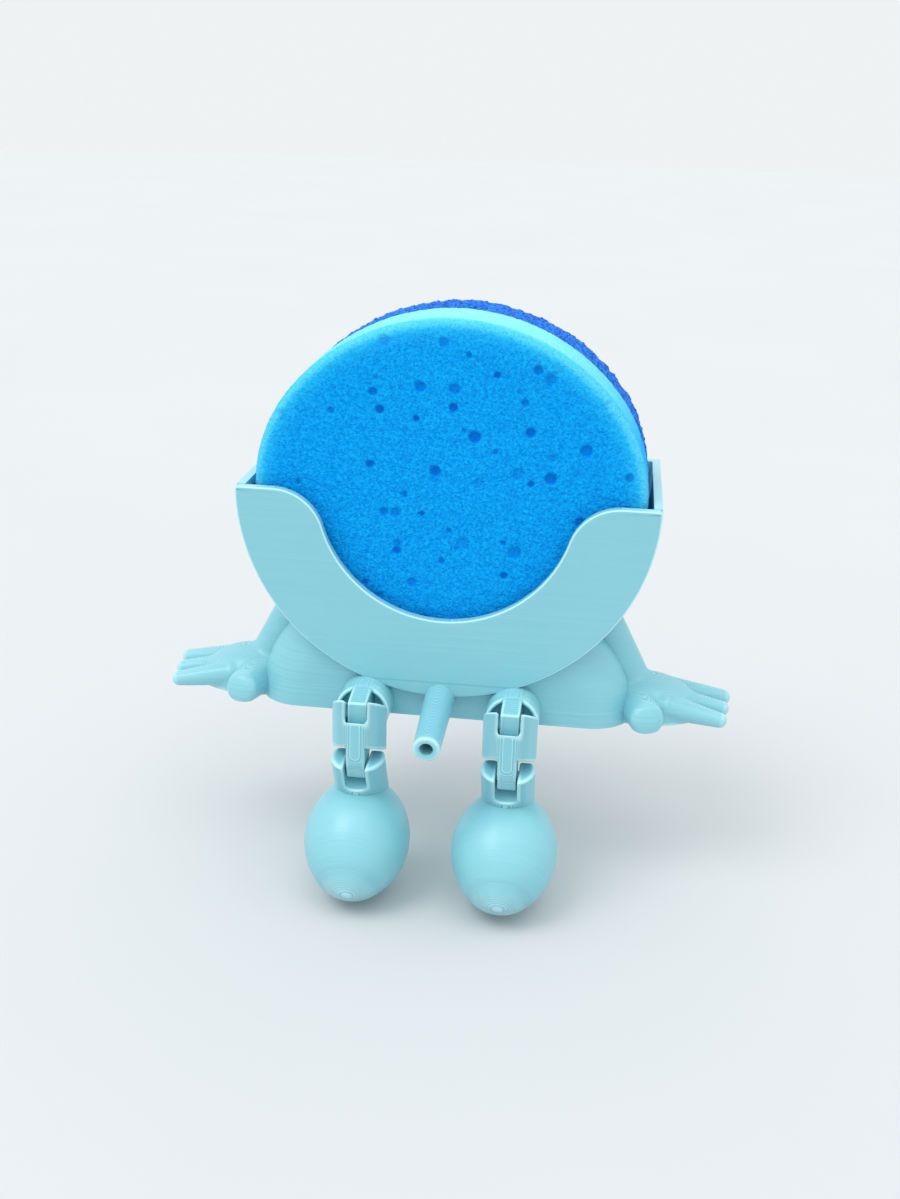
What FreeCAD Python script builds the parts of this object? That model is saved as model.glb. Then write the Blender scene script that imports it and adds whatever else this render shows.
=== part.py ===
import FreeCAD, Part
import os

import Sketcher

Vector = FreeCAD.Vector

# A sponge holder in the form of a small seated figure. A half-round cradle stands in a rounded base,
# two arms lean on flat hands, two jointed legs hang over the edge of a ledge, and a spout drains the
# cradle. Millimetres, +Z up, front towards -Y, origin in the middle of the base's underside.

doc = FreeCAD.newDocument("sponge_holder")
sheet = doc.addObject("Spreadsheet::Sheet", "size")

SIZES = [
    # Cradle: front plate, trough and back plate
    ("cradle_radius", 60.0),
    ("cradle_lift", 8.0),
    ("trough_length", 52.0),
    ("plate_thickness", 3.0),
    ("trough_thickness", 2.4),
    ("horn_width", 23.5),
    ("horn_radius", 15.0),
    # Base block
    ("base_half_width", 56.3),
    ("flank_radius", 34.0),
    ("base_corner", 13.0),
    # Drain
    ("spout_diameter", 8.3),
    ("spout_bore", 3.8),
    ("spout_reach", 28.0),
    ("spout_height", 7.3),
    ("spout_slope", 5.9),
    ("spout_lip", 0.9),
    ("drain_setback", 4.0),
    # Arms and hands
    ("arm_diameter", 11.5),
    ("arm_lean", 27.5),
    ("arm_outset", 4.1),
    ("arm_forward", 9.0),
    ("wrist_height", 13.0),
    ("palm_reach", 20.0),
    ("palm_half_width", 9.5),
    ("palm_height", 13.0),
    ("palm_outset", 0.6),
    ("palm_forward", 9.8),
    ("finger_root_radius", 4.2),
    ("finger_tip_radius", 2.7),
    ("finger_length", 14.8),
    ("finger_stagger", 1.0),
    ("finger_outset", 7.6),
    ("finger_pitch", 6.6),
    ("finger_fan", 6.5),
    ("finger_droop", 5.0),
    ("finger_lift", 4.0),
    ("thumb_root_radius", 5.9),
    ("thumb_tip_radius", 5.2),
    ("thumb_reach", 11.0),
    ("thumb_turn", 18.0),
    ("thumb_inset", 2.4),
    ("thumb_forward", 12.0),
    ("thumb_lift", 4.4),
    # Legs: the section is a round bar, cut flat behind
    ("leg_spacing", 43.5),
    ("leg_radius", 7.8),
    ("leg_set_back", 2.5),
    ("hip_forward", 16.0),
    ("hip_height", 7.0),
    ("hip_stub_height", 4.6),
    ("hood_wall", 1.0),
    ("hood_depth", 3.4),
    ("hood_gap", 0.4),
    ("hip_relief", 1.0),
    ("hip_relief_drop", 2.4),
    ("hip_tongue_face", 2.2),
    ("hip_tongue_top", 3.7),
    ("hip_lip_drop", 1.2),
    ("tongue_width", 5.4),
    ("tongue_radius", 4.2),
    ("tongue_taper", 3.0),
    ("tongue_root", 1.0),
    ("leg_back", 5.0),
    ("ear_rise", 5.7),
    ("ear_slope", 30.0),
    ("side_gap", 0.5),
    ("knuckle_gap", 0.45),
    ("slot_back_drop", 0.7),
    ("shin_pitch", 16.0),
    ("shoulder_rise", 4.85),
    ("pin_diameter", 3.0),
    ("pin_cover", 1.4),
    ("pin_gap", 0.05),
    # Feet, which hang with the toe turned down
    ("ankle_ear_rise", 2.4),
    ("ankle_cut_slope", 25.0),
    ("ankle_set_back", 1.0),
    ("ankle_slot_drop", 0.7),
    ("foot_radius", 15.5),
    ("foot_half_length", 19.2),
    ("foot_end_radius", 12.8),
    ("foot_forward", 12.0),
    ("foot_drop", 21.6),
    ("foot_tilt", 29.0),
    # Sponge: a round pad of two layers, a little lower than it is wide
    ("sponge_side_gap", 1.6),
    ("sponge_side_radius", 44.0),
    ("sponge_crown_extra", 3.0),
    ("foam_thickness", 19.0),
    ("scrubber_thickness", 19.0),
    ("sponge_front_gap", 3.0),
    ("sponge_seat_gap", 0.3),
    ("foam_edge", 2.5),
    ("scrubber_edge", 1.5),
]

for row, (alias, value) in enumerate(SIZES, start=1):
    sheet.set("A%d" % row, alias)
    sheet.set("B%d" % row, str(value))
    sheet.setAlias("B%d" % row, alias)
doc.recompute()


def size(text):
    """The value of an expression on the sheet's aliases, in millimetres or degrees."""
    return float(sheet.evalExpression(text))


def bind(thing, **expressions):
    """Tie properties of a document object to expressions on the sheet."""
    for name, text in expressions.items():
        thing.setExpression(name.replace("__", "."), text)
    return thing


def place(thing, x="0", y="0", z="0"):
    """Tie an object's position to expressions on the sheet."""
    return bind(thing, Placement__Base__x=x, Placement__Base__y=y, Placement__Base__z=z)


TURNS = {
    "x": FreeCAD.Rotation(Vector(0, 1, 0), 90),
    "y": FreeCAD.Rotation(Vector(1, 0, 0), -90),
    "z": FreeCAD.Rotation(),
}


def round_bar(name, axis, radius, length, x="0", y="0", z="0", kind="Part::Cylinder", owner=doc):
    """A cylinder that starts at a point and runs along +x, +y or +z, or along a given turn."""
    make = owner.addObject if owner is doc else owner.newObject
    bar = make(kind, name)
    turn = TURNS[axis] if isinstance(axis, str) else axis
    bar.Placement = FreeCAD.Placement(Vector(), turn)
    bind(bar, Radius=radius, Height=length)
    return place(bar, x, y, z)


def block(name, x, y, z, kind="Part::Box", owner=doc):
    """A box between two expressions on each axis."""
    make = owner.addObject if owner is doc else owner.newObject
    box = make(kind, name)
    bind(box, Length="(%s) - (%s)" % (x[1], x[0]), Width="(%s) - (%s)" % (y[1], y[0]))
    bind(box, Height="(%s) - (%s)" % (z[1], z[0]))
    return place(box, x[0], y[0], z[0])


def cut(name, base, *tools):
    """The base solid less the tools."""
    tool = tools[0]
    if len(tools) > 1:
        tool = fuse(name + "_tools", *tools)
    result = doc.addObject("Part::Cut", name)
    result.Base = base
    result.Tool = tool
    return result


def fuse(name, *shapes):
    """The union of the shapes."""
    result = doc.addObject("Part::MultiFuse", name)
    result.Shapes = list(shapes)
    return result


def common(name, *shapes):
    """What the shapes have in common."""
    result = doc.addObject("Part::MultiCommon", name)
    result.Shapes = list(shapes)
    return result


def outline(body, name, role, corners, bulges=None):
    """A closed sketch through corners given as expression pairs on one of the body's origin planes.

    bulges gives, for the side that starts at a corner's index, the arc's centre and the place of the
    arc's middle, each as an expression pair. The other sides are straight.
    """
    bulges = bulges or {}
    sketch = body.newObject("Sketcher::SketchObject", name)
    plane = [feature for feature in body.Origin.OriginFeatures if feature.Role == role][0]
    sketch.AttachmentSupport = [(plane, "")]
    sketch.MapMode = "FlatFace"
    points = [Vector(size(across), size(up), 0) for across, up in corners]
    starts = []
    for index, point in enumerate(points):
        after = points[(index + 1) % len(points)]
        if index in bulges:
            across, up = bulges[index][1]
            arc = Part.Arc(point, Vector(size(across), size(up), 0), after)
            side = sketch.addGeometry(arc, False)
            drawn = sketch.Geometry[side]
            starts.append(1 if drawn.StartPoint.distanceToPoint(point) < 1e-6 else 2)
        else:
            side = sketch.addGeometry(Part.LineSegment(point, after), False)
            starts.append(1)
    for index, start in enumerate(starts):
        after = (index + 1) % len(points)
        sketch.addConstraint(Sketcher.Constraint("Coincident", index, 3 - start, after, starts[after]))
    for index, (across, up) in enumerate(corners):
        for kind, text in (("DistanceX", across), ("DistanceY", up)):
            number = sketch.addConstraint(Sketcher.Constraint(kind, index, starts[index], size(text)))
            sketch.setExpression("Constraints[%d]" % number, text)
    for index, (centre, middle) in bulges.items():
        chord = points[(index + 1) % len(points)] - points[index]
        kind, text = ("DistanceX", centre[0]) if abs(chord.y) > abs(chord.x) else ("DistanceY", centre[1])
        number = sketch.addConstraint(Sketcher.Constraint(kind, index, 3, size(text)))
        sketch.setExpression("Constraints[%d]" % number, text)
    return sketch


def pad(body, sketch, length):
    """A pad of the sketch, half to each side of its plane."""
    feature = body.newObject("PartDesign::Pad", sketch.Name + "_pad")
    feature.Profile = sketch
    feature.SideType = "Symmetric"
    bind(feature, Length=length)
    return feature


def round_edges(body, base, radius, wanted):
    """A fillet on those edges of the base feature that the test picks."""
    doc.recompute()
    names = ["Edge%d" % (i + 1) for i, edge in enumerate(base.Shape.Edges) if wanted(edge)]
    fillet = body.newObject("PartDesign::Fillet", base.Name + "_round")
    fillet.Base = (base, names)
    bind(fillet, Radius=radius)
    return fillet


def near(value, text):
    """Whether a length equals an expression on the sheet."""
    return abs(value - size(text)) < 1e-4


nodes = []


def node(thing, label):
    """Name a finished sub-part."""
    thing.Label = label
    nodes.append(thing)
    return thing


# Places that several pieces share: y runs from the front plate's outer face to the back plate's
TROUGH_FRONT = "-size.trough_length / 2"
TROUGH_BACK = "size.trough_length / 2"
FRONT_FACE = "-size.trough_length / 2 - size.plate_thickness"
AXIS = "(size.cradle_radius + size.cradle_lift)"

# Cradle drum: the outer form of the cradle, which the pieces around it are cut to fit
drum = round_bar("cradle_drum", "y", "size.cradle_radius",
                 "size.trough_length + 2 * size.plate_thickness", y=FRONT_FACE, z=AXIS)

# Drain: the bore slopes forward out of the holder, and a short well drops into it from the trough
SPOUT_TURN = FreeCAD.Rotation(Vector(1, 0, 0), 90 + size("size.spout_slope"))
SPOUT_RISE = "tan(size.spout_slope * 1 deg)"
WELL_Y = TROUGH_FRONT + " + size.drain_setback"
BORE_RADIUS = "size.spout_bore / 2"
WELL_Z = "size.spout_height + (size.plate_thickness + size.drain_setback) * " + SPOUT_RISE
drain_bore = round_bar("drain_bore", SPOUT_TURN, BORE_RADIUS,
                       "size.spout_reach * 2", y=WELL_Y, z=WELL_Z)
drain_well = round_bar("drain_well", "z", BORE_RADIUS, "%s - (%s)" % (AXIS, WELL_Z),
                       y=WELL_Y, z=WELL_Z)
drain = fuse("drain", drain_bore, drain_well)

# Front plate: a half disc with a round notch whose horns are rounded over
NOTCH_RADIUS = "(size.cradle_radius - size.horn_width)"
plate_body = doc.addObject("PartDesign::Body", "front_plate_body")
plate_disc = round_bar("plate_disc", "y", "size.cradle_radius", "size.plate_thickness",
                       y=FRONT_FACE, z=AXIS, kind="PartDesign::AdditiveCylinder", owner=plate_body)
plate_disc.Angle = 180
plate_notch = round_bar("plate_notch", "y", NOTCH_RADIUS, "size.plate_thickness",
                        y=FRONT_FACE, z=AXIS, kind="PartDesign::SubtractiveCylinder", owner=plate_body)


def is_horn(edge):
    """The straight corner between the plate's top edge and its notch."""
    middle = edge.CenterOfMass
    return near(abs(middle.x), NOTCH_RADIUS) and near(middle.z, AXIS)


round_edges(plate_body, plate_notch, "size.horn_radius", is_horn)
node(cut("front_plate", plate_body, drain), "front_plate")

# Trough: a half tube between the two plates, with the drain hole in its floor
trough_shell = round_bar("trough_shell", "y", "size.cradle_radius", "size.trough_length",
                         y=TROUGH_FRONT, z=AXIS)
trough_shell.Angle = 180
trough_room = round_bar("trough_room", "y", "size.cradle_radius - size.trough_thickness",
                        "size.trough_length", y=TROUGH_FRONT, z=AXIS)
node(cut("trough_wall", trough_shell, trough_room, drain), "trough_wall")

# Back plate: a plain half disc
back_plate = round_bar("back_plate", "y", "size.cradle_radius", "size.plate_thickness",
                       y=TROUGH_BACK, z=AXIS)
back_plate.Angle = 180
node(back_plate, "back_plate")

# Base: swelling flanks and rounded corners, hollowed to seat the cradle
FLANK_X = "size.base_half_width - size.flank_radius"
base_body = doc.addObject("PartDesign::Body", "base_body")
flank_middle = "%s + size.flank_radius * cos(45 deg)" % FLANK_X
flank_up = "size.flank_radius * sin(45 deg)"
base_sketch = outline(
    base_body, "base_profile", "XZ_Plane",
    [("-size.base_half_width", "0"), ("size.base_half_width", "0"),
     (FLANK_X, "size.flank_radius"), ("-(%s)" % FLANK_X, "size.flank_radius")],
    {1: ((FLANK_X, "0"), (flank_middle, flank_up)),
     3: (("-(%s)" % FLANK_X, "0"), ("-(%s)" % flank_middle, flank_up))})
base_pad = pad(base_body, base_sketch, "size.trough_length")


def is_flank(edge):
    """An end edge of the base's swelling flanks."""
    return edge.Curve.TypeId == "Part::GeomCircle" and edge.CenterOfMass.z > 1


round_edges(base_body, base_pad, "size.base_corner", is_flank)
base = node(cut("base", base_body, drum, drain), "base")

# Drain spout: a tube under the plate's lowest point, with a rounded lip
spout_body = doc.addObject("PartDesign::Body", "spout_body")
SPOUT_ROOT_Z = "size.spout_height + size.plate_thickness * " + SPOUT_RISE
SPOUT_LENGTH = "(size.spout_reach + size.plate_thickness) / cos(size.spout_slope * 1 deg)"
spout_tube = round_bar("spout_tube", SPOUT_TURN, "size.spout_diameter / 2", SPOUT_LENGTH, y=TROUGH_FRONT,
                       z=SPOUT_ROOT_Z, kind="PartDesign::AdditiveCylinder", owner=spout_body)


def is_lip(edge):
    """The outer edge of the spout's free end."""
    return edge.Curve.TypeId == "Part::GeomCircle" and edge.CenterOfMass.y < size(FRONT_FACE) - 1


round_edges(spout_body, spout_tube, "size.spout_lip", is_lip)
spout_room = block("spout_room", ("-size.base_half_width", "size.base_half_width"),
                   (TROUGH_FRONT, TROUGH_BACK), ("0", AXIS))
node(cut("drain_spout", spout_body, drum, drain, spout_room), "drain_spout")

# Arms: slanted rods that run up into the cradle's side
ARM_TURN = FreeCAD.Rotation(Vector(0, 1, 0), -size("size.arm_lean"))
ARM_RADIUS = "size.arm_diameter / 2"
ARM_X = "size.base_half_width + size.arm_outset"
rod = round_bar("arm_rod", ARM_TURN, ARM_RADIUS, AXIS, x=ARM_X, y="-size.arm_forward")
above_wrist = block("above_wrist", ("0", "2 * size.base_half_width"), (TROUGH_FRONT, TROUGH_BACK),
                    ("size.wrist_height", AXIS))
arm_part = common("arm_part", rod, above_wrist)
right_arm = cut("right_arm", arm_part, base_body, drum)

# Hands: a domed palm on the ledge, three fingers pointing outwards and a thumb pointing forwards
palm = doc.addObject("Part::Ellipsoid", "palm")
bind(palm, Radius1="size.palm_height", Radius2="size.palm_reach", Radius3="size.palm_half_width")
place(palm, ARM_X + " + size.palm_outset", "-size.palm_forward", "0")


def digit(name, root, tip, length, x, y, z, turn):
    """A tapering finger with round ends, which starts at a point and runs along its turn."""
    body = doc.addObject("PartDesign::Body", name)
    far = "(%s)" % length
    lean = "asin((%s - %s) / %s)" % (root, tip, far)
    root_join = ("%s * cos(%s)" % (root, lean), "%s * sin(%s)" % (root, lean))
    tip_join = ("%s * cos(%s)" % (tip, lean), "%s + %s * sin(%s)" % (far, tip, lean))
    sketch = outline(
        body, name + "_profile", "XZ_Plane",
        [("0", "-" + root), root_join, tip_join, ("0", "%s + %s" % (far, tip))],
        {0: (("0", "0"), ("%s * cos(%s / 2 - 45 deg)" % (root, lean),
                          "%s * sin(%s / 2 - 45 deg)" % (root, lean))),
         2: (("0", far), ("%s * cos(%s / 2 + 45 deg)" % (tip, lean),
                          "%s + %s * sin(%s / 2 + 45 deg)" % (far, tip, lean)))})
    turned = body.newObject("PartDesign::Revolution", name + "_turned")
    turned.Profile = sketch
    turned.ReferenceAxis = (sketch, ["V_Axis"])
    turned.Angle = 360
    body.Placement = FreeCAD.Placement(Vector(), turn)
    return place(body, x, y, z)


fingers = []
droop = FreeCAD.Rotation(Vector(0, 1, 0), size("size.finger_droop")) * TURNS["x"]
for label, step in (("front", -1), ("middle", 0), ("back", 1)):
    turn = FreeCAD.Rotation(Vector(0, 0, 1), step * size("size.finger_fan")) * droop
    finger_y = "-size.palm_forward + %d * size.finger_pitch" % step
    finger_length = "size.finger_length + %d * size.finger_stagger" % step
    fingers.append(digit(label + "_finger", "size.finger_root_radius", "size.finger_tip_radius",
                         finger_length, ARM_X + " + size.finger_outset", finger_y, "size.finger_lift",
                         turn))
thumb_turn = FreeCAD.Rotation(Vector(0, 0, 1), size("size.thumb_turn") - 90) * TURNS["x"]
thumb = digit("thumb", "size.thumb_root_radius", "size.thumb_tip_radius", "size.thumb_reach",
              ARM_X + " - size.thumb_inset", "-size.thumb_forward", "size.thumb_lift", thumb_turn)
below_wrist = block("below_wrist", ("0", "2 * size.base_half_width"),
                    ("2 * (%s)" % FRONT_FACE, TROUGH_BACK), ("0", "size.wrist_height"))
hand_mass = fuse("hand_mass", palm, thumb, rod, *fingers)
hand_part = common("hand_part", hand_mass, below_wrist)
right_hand = cut("right_hand", hand_part, base_body)


def mirror(source, name):
    """The piece on the other side of the middle plane."""
    other = doc.addObject("Part::Mirroring", name)
    other.Source = source
    other.Normal = Vector(1, 0, 0)
    return other


node(right_arm, "right_arm")
node(mirror(right_arm, "left_arm"), "left_arm")
node(right_hand, "right_hand")
node(mirror(right_hand, "left_hand"), "left_hand")

# Legs: each joint is a tongue between two ears with a cross pin, and the axis is the leg's own origin
SLOT = ("-size.tongue_width / 2 - size.side_gap", "size.tongue_width / 2 + size.side_gap")
PIN_RADIUS = "size.pin_diameter / 2"
PIN_ROOM = "size.pin_diameter / 2 + size.pin_gap"
PIN_HALF = "(sqrt(size.leg_radius ^ 2 - size.leg_set_back ^ 2) - size.pin_cover)"
LEG_FRONT = "size.leg_radius - size.leg_set_back"
EAR_FRONT = "(sqrt(size.leg_radius ^ 2 - (%s) ^ 2) - size.leg_set_back)" % SLOT[1]
FAR = "3 * size.leg_radius"
LONG = "2 * (size.shin_pitch + size.foot_drop)"
ACROSS = ("-" + FAR, FAR)
CUT_SLOPE = "tan(size.ankle_cut_slope * 1 deg)"
CUT_RISE = "%s * %s" % (FAR, CUT_SLOPE)
HIP_Y = TROUGH_FRONT + " - size.hip_forward"
RIM_Y = "size.ear_rise + size.hood_gap"
ANKLE_Z = "-size.shin_pitch"
HIP_KNUCKLE = "sqrt(size.hip_tongue_face ^ 2 + size.hip_tongue_top ^ 2)"


def hip(side, x):
    """A round stub with a hollow end, and a tongue that carries the shin."""
    stub_z = "size.hip_stub_height - size.hip_height"
    stub = round_bar(side + "_hip_stub", "y", "size.leg_radius", "size.hip_forward - (%s)" % RIM_Y,
                     y=RIM_Y, z=stub_z)
    hollow = round_bar(side + "_hip_hollow", "y", "size.leg_radius - size.hood_wall", "size.hood_depth",
                       y=RIM_Y, z=stub_z)
    relief = block(side + "_hip_relief", ACROSS, (RIM_Y, RIM_Y + " + size.hip_relief"),
                   ("-" + FAR, "-size.hip_relief_drop"))
    floor = block(side + "_hip_floor", ACROSS, ("0", FAR), ("-" + FAR, "-size.hip_height"))
    hood = cut(side + "_hip_hood", stub, hollow, relief, floor)
    body = doc.addObject("PartDesign::Body", side + "_hip_tongue_body")
    root_y = RIM_Y + " + size.hood_depth + size.tongue_root"
    crest = stub_z + " + size.leg_radius"
    turn = "(atan(size.hip_tongue_face / size.hip_tongue_top) / 2)"
    sketch = outline(
        body, side + "_hip_tongue_side", "YZ_Plane",
        [("-size.hip_tongue_face", "size.hip_tongue_top"),
         ("-size.hip_tongue_face", "-size.hip_tongue_top"), ("0", "-" + HIP_KNUCKLE),
         (root_y, "-" + HIP_KNUCKLE), (root_y, crest), (RIM_Y, crest)],
        {1: (("0", "0"), ("-%s * sin(%s)" % (HIP_KNUCKLE, turn), "-%s * cos(%s)" % (HIP_KNUCKLE, turn)))})
    pad(body, sketch, "size.tongue_width")
    crown = round_bar(side + "_hip_crown", "y", "size.leg_radius", "2 * " + FAR, y="-" + FAR, z=stub_z)
    tongue = common(side + "_hip_tongue", body, crown)
    pin_hole = round_bar(side + "_hip_bore", "x", PIN_ROOM, "2 * " + FAR, x="-" + FAR)
    whole = cut(side + "_hip_whole", fuse(side + "_hip_joined", hood, tongue), pin_hole)
    place(whole, x, HIP_Y, "size.hip_height")
    return cut(side + "_hip_fitted", whole, drum)


def pin(side, name, x, z):
    """A plain hinge pin across a fork."""
    return round_bar("%s_%s" % (side, name), "x", PIN_RADIUS, "2 * " + PIN_HALF,
                     x="%s - %s" % (x, PIN_HALF), y=HIP_Y, z=z)


def pin_seat(side, name):
    """The blind holes that hold a pin in the fork's two ears."""
    half = "(%s + size.pin_gap)" % PIN_HALF
    return round_bar("%s_%s_seat" % (side, name), "x", PIN_ROOM, "2 * " + half, x="-" + half)


def leg_bar(side, name, set_back, low, high):
    """A length of the legs' round bar, cut flat behind."""
    bar = round_bar("%s_%s_bar" % (side, name), "z", "size.leg_radius", "(%s) - (%s)" % (high, low),
                    y=set_back, z=low)
    front = block("%s_%s_front" % (side, name), ACROSS, ("-" + FAR, "size.leg_back"), (low, high))
    return common("%s_%s_bar_cut" % (side, name), bar, front)


def shin(side):
    """An H-shaped link: ears above, whose tops fall away to the back, slanted shoulders and a tongue."""
    shoulder = "size.shoulder_rise - size.shin_pitch"
    bar = leg_bar(side, "shin", "size.leg_set_back", ANKLE_Z, "size.ear_rise")
    side_body = doc.addObject("PartDesign::Body", side + "_shin_side_body")
    far_top = "size.ear_rise - (%s + %s) * tan(size.ear_slope * 1 deg)" % (FAR, EAR_FRONT)
    side_sketch = outline(
        side_body, side + "_shin_side", "YZ_Plane",
        [("-" + FAR, "%s + %s" % (shoulder, CUT_RISE)), (FAR, "%s - %s" % (shoulder, CUT_RISE)),
         (FAR, far_top), ("-" + EAR_FRONT, "size.ear_rise"), ("-" + FAR, "size.ear_rise")])
    pad(side_body, side_sketch, "2 * " + FAR)
    eared = common(side + "_shin_eared", bar, side_body)
    slot_top = block(side + "_shin_slot_top", SLOT, ACROSS, ("-size.hip_lip_drop", FAR))
    slot_round = round_bar(side + "_shin_slot_round", "x", HIP_KNUCKLE + " + size.knuckle_gap",
                           "(%s) - (%s)" % (SLOT[1], SLOT[0]), x=SLOT[0])
    slot_back = block(side + "_shin_slot_back", SLOT, ("0", FAR),
                      ("-%s - size.slot_back_drop" % HIP_KNUCKLE, "0"))
    fork = cut(side + "_shin_fork", eared, slot_top, slot_round, slot_back, pin_seat(side, "hip_pin"))
    body = doc.addObject("PartDesign::Body", side + "_shin_tongue_body")
    root_z = "%s + (%s) * %s + size.tongue_root" % (shoulder, LEG_FRONT, CUT_SLOPE)
    turn_z = ANKLE_Z + " + size.tongue_taper"
    sketch = outline(
        body, side + "_shin_tongue_side", "YZ_Plane",
        [("-(%s)" % LEG_FRONT, root_z), ("-(%s)" % LEG_FRONT, turn_z), ("-size.tongue_radius", ANKLE_Z),
         ("size.tongue_radius", ANKLE_Z), ("size.leg_back", turn_z), ("size.leg_back", root_z)],
        {2: (("0", ANKLE_Z), ("0", ANKLE_Z + " - size.tongue_radius"))})
    pad(body, sketch, "size.tongue_width")
    tongue_bar = leg_bar(side, "shin_tongue", "size.leg_set_back", "-" + LONG, "0")
    tongue = common(side + "_shin_tongue", body, tongue_bar)
    bore = round_bar(side + "_ankle_bore", "x", PIN_ROOM, "2 * " + FAR, x="-" + FAR, z=ANKLE_Z)
    return cut(side + "_shin_whole", fuse(side + "_shin_joined", fork, tongue), bore)


def foot(side):
    """An egg with its long axis level."""
    body = doc.addObject("PartDesign::Body", side + "_foot_body")
    end = "size.foot_half_length - size.foot_end_radius"
    slack = "2 * (size.foot_radius - size.foot_end_radius)"
    side_radius = "((size.foot_radius ^ 2 + (%s) ^ 2 - size.foot_end_radius ^ 2) / (%s))" % (end, slack)
    turn = "atan((%s) / (%s - size.foot_radius))" % (end, side_radius)
    join = ("size.foot_end_radius * cos(%s)" % turn, "%s + size.foot_end_radius * sin(%s)" % (end, turn))
    middle = ("size.foot_end_radius * cos(%s / 2 + 45 deg)" % turn,
              "%s + size.foot_end_radius * sin(%s / 2 + 45 deg)" % (end, turn))
    sketch = outline(
        body, side + "_foot_profile", "XY_Plane",
        [("0", "-size.foot_half_length"), (join[0], "-(%s)" % join[1]), join,
         ("0", "size.foot_half_length")],
        {0: (("0", "-(%s)" % end), (middle[0], "-(%s)" % middle[1])),
         1: (("size.foot_radius - " + side_radius, "0"), ("size.foot_radius", "0")),
         2: (("0", end), middle)})
    turned = body.newObject("PartDesign::Revolution", side + "_foot_turned")
    turned.Profile = sketch
    turned.ReferenceAxis = (sketch, ["V_Axis"])
    turned.Angle = 360
    return place(body, "0", "-size.foot_forward", "-size.foot_drop")


def ankle(side, egg):
    """A fork collar that grows out of the foot, its ears cut at the slant of the shin's shoulders."""
    bar = leg_bar(side, "ankle", "size.ankle_set_back", "-size.foot_drop", FAR)
    body = doc.addObject("PartDesign::Body", side + "_ankle_side_body")
    sketch = outline(
        body, side + "_ankle_side", "YZ_Plane",
        [("-" + FAR, "-" + FAR), (FAR, "-" + FAR), (FAR, "size.ankle_ear_rise - " + CUT_RISE),
         ("-" + FAR, "size.ankle_ear_rise + " + CUT_RISE)])
    pad(body, sketch, "2 * " + FAR)
    eared = common(side + "_ankle_eared", bar, body)
    slot = block(side + "_ankle_slot", SLOT, ACROSS, ("-size.tongue_radius - size.ankle_slot_drop", FAR))
    return cut(side + "_ankle_level", eared, slot, pin_seat(side, "ankle_pin"), egg)


TOE_DOWN = FreeCAD.Rotation(Vector(1, 0, 0), size("size.foot_tilt"))
HIP_Z = "size.hip_height"
FOOT_Z = "size.hip_height - size.shin_pitch"
for side, sign in (("left", "-"), ("right", "")):
    leg_x = sign + "size.leg_spacing / 2"
    node(hip(side, leg_x), side + "_hip")
    node(place(shin(side), leg_x, HIP_Y, HIP_Z), side + "_shin")
    node(pin(side, "hip_pin", leg_x, HIP_Z), side + "_hip_pin")
    egg = foot(side)
    collar = ankle(side, egg)
    for piece, label in ((egg, "foot"), (collar, "ankle")):
        hung = doc.addObject("Part::Compound", side + "_" + label + "_hung")
        hung.Links = [piece]
        hung.Placement = FreeCAD.Placement(Vector(), TOE_DOWN)
        node(place(hung, leg_x, HIP_Y, FOOT_Z), side + "_" + label)
    node(pin(side, "ankle_pin", leg_x, FOOT_Z), side + "_ankle_pin")

# Sponge: soft foam in front and coarse scrubber behind, bonded face to face
TROUGH_FLOOR = "size.cradle_lift + size.trough_thickness"
SPONGE_RADIUS = "(size.cradle_radius - size.trough_thickness - size.sponge_side_gap)"
SPONGE_AXIS = TROUGH_FLOOR + " + size.sponge_seat_gap + " + SPONGE_RADIUS
SPONGE_FRONT = TROUGH_FRONT + " + size.sponge_front_gap"


def sponge_layer(name, thickness, front, edge_radius, outer):
    """A slab of the sponge's outline: a half circle below, a flatter three-arc crown above."""
    body = doc.addObject("PartDesign::Body", name + "_body")
    shift = "(%s - size.sponge_side_radius)" % SPONGE_RADIUS
    top_radius = "(%s + size.sponge_crown_extra)" % SPONGE_RADIUS
    apart = "(%s - size.sponge_side_radius)" % top_radius
    fall = "sqrt(%s ^ 2 - %s ^ 2)" % (apart, shift)
    lean = "asin(%s / %s)" % (fall, apart)
    join = ("%s + size.sponge_side_radius * cos(%s)" % (shift, lean),
            "size.sponge_side_radius * sin(%s)" % lean)
    bend = ("%s + size.sponge_side_radius * cos(%s / 2)" % (shift, lean),
            "size.sponge_side_radius * sin(%s / 2)" % lean)
    sketch = outline(
        body, name + "_profile", "XZ_Plane",
        [("-" + SPONGE_RADIUS, "0"), (SPONGE_RADIUS, "0"), join, ("-(%s)" % join[0], join[1])],
        {0: (("0", "0"), ("0", "-" + SPONGE_RADIUS)),
         1: ((shift, "0"), bend),
         2: (("0", "-" + fall), ("0", "%s - %s" % (top_radius, fall))),
         3: (("-" + shift, "0"), ("-(%s)" % bend[0], bend[1]))})
    slab = pad(body, sketch, thickness)
    place(body, "0", "%s + (%s) / 2" % (front, thickness), SPONGE_AXIS)
    round_edges(body, slab, edge_radius, outer)
    return node(body, name)


def is_foam_edge(edge):
    """The rim of the foam's front face."""
    return edge.BoundBox.YMax < -size("size.foam_thickness") / 2 + 0.01


def is_scrubber_edge(edge):
    """The rim of the scrubber's back face."""
    return edge.BoundBox.YMin > size("size.scrubber_thickness") / 2 - 0.01


sponge_layer("sponge_foam", "size.foam_thickness", SPONGE_FRONT, "size.foam_edge", is_foam_edge)
sponge_layer("sponge_scrubber", "size.scrubber_thickness", SPONGE_FRONT + " + size.foam_thickness",
             "size.scrubber_edge", is_scrubber_edge)

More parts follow.
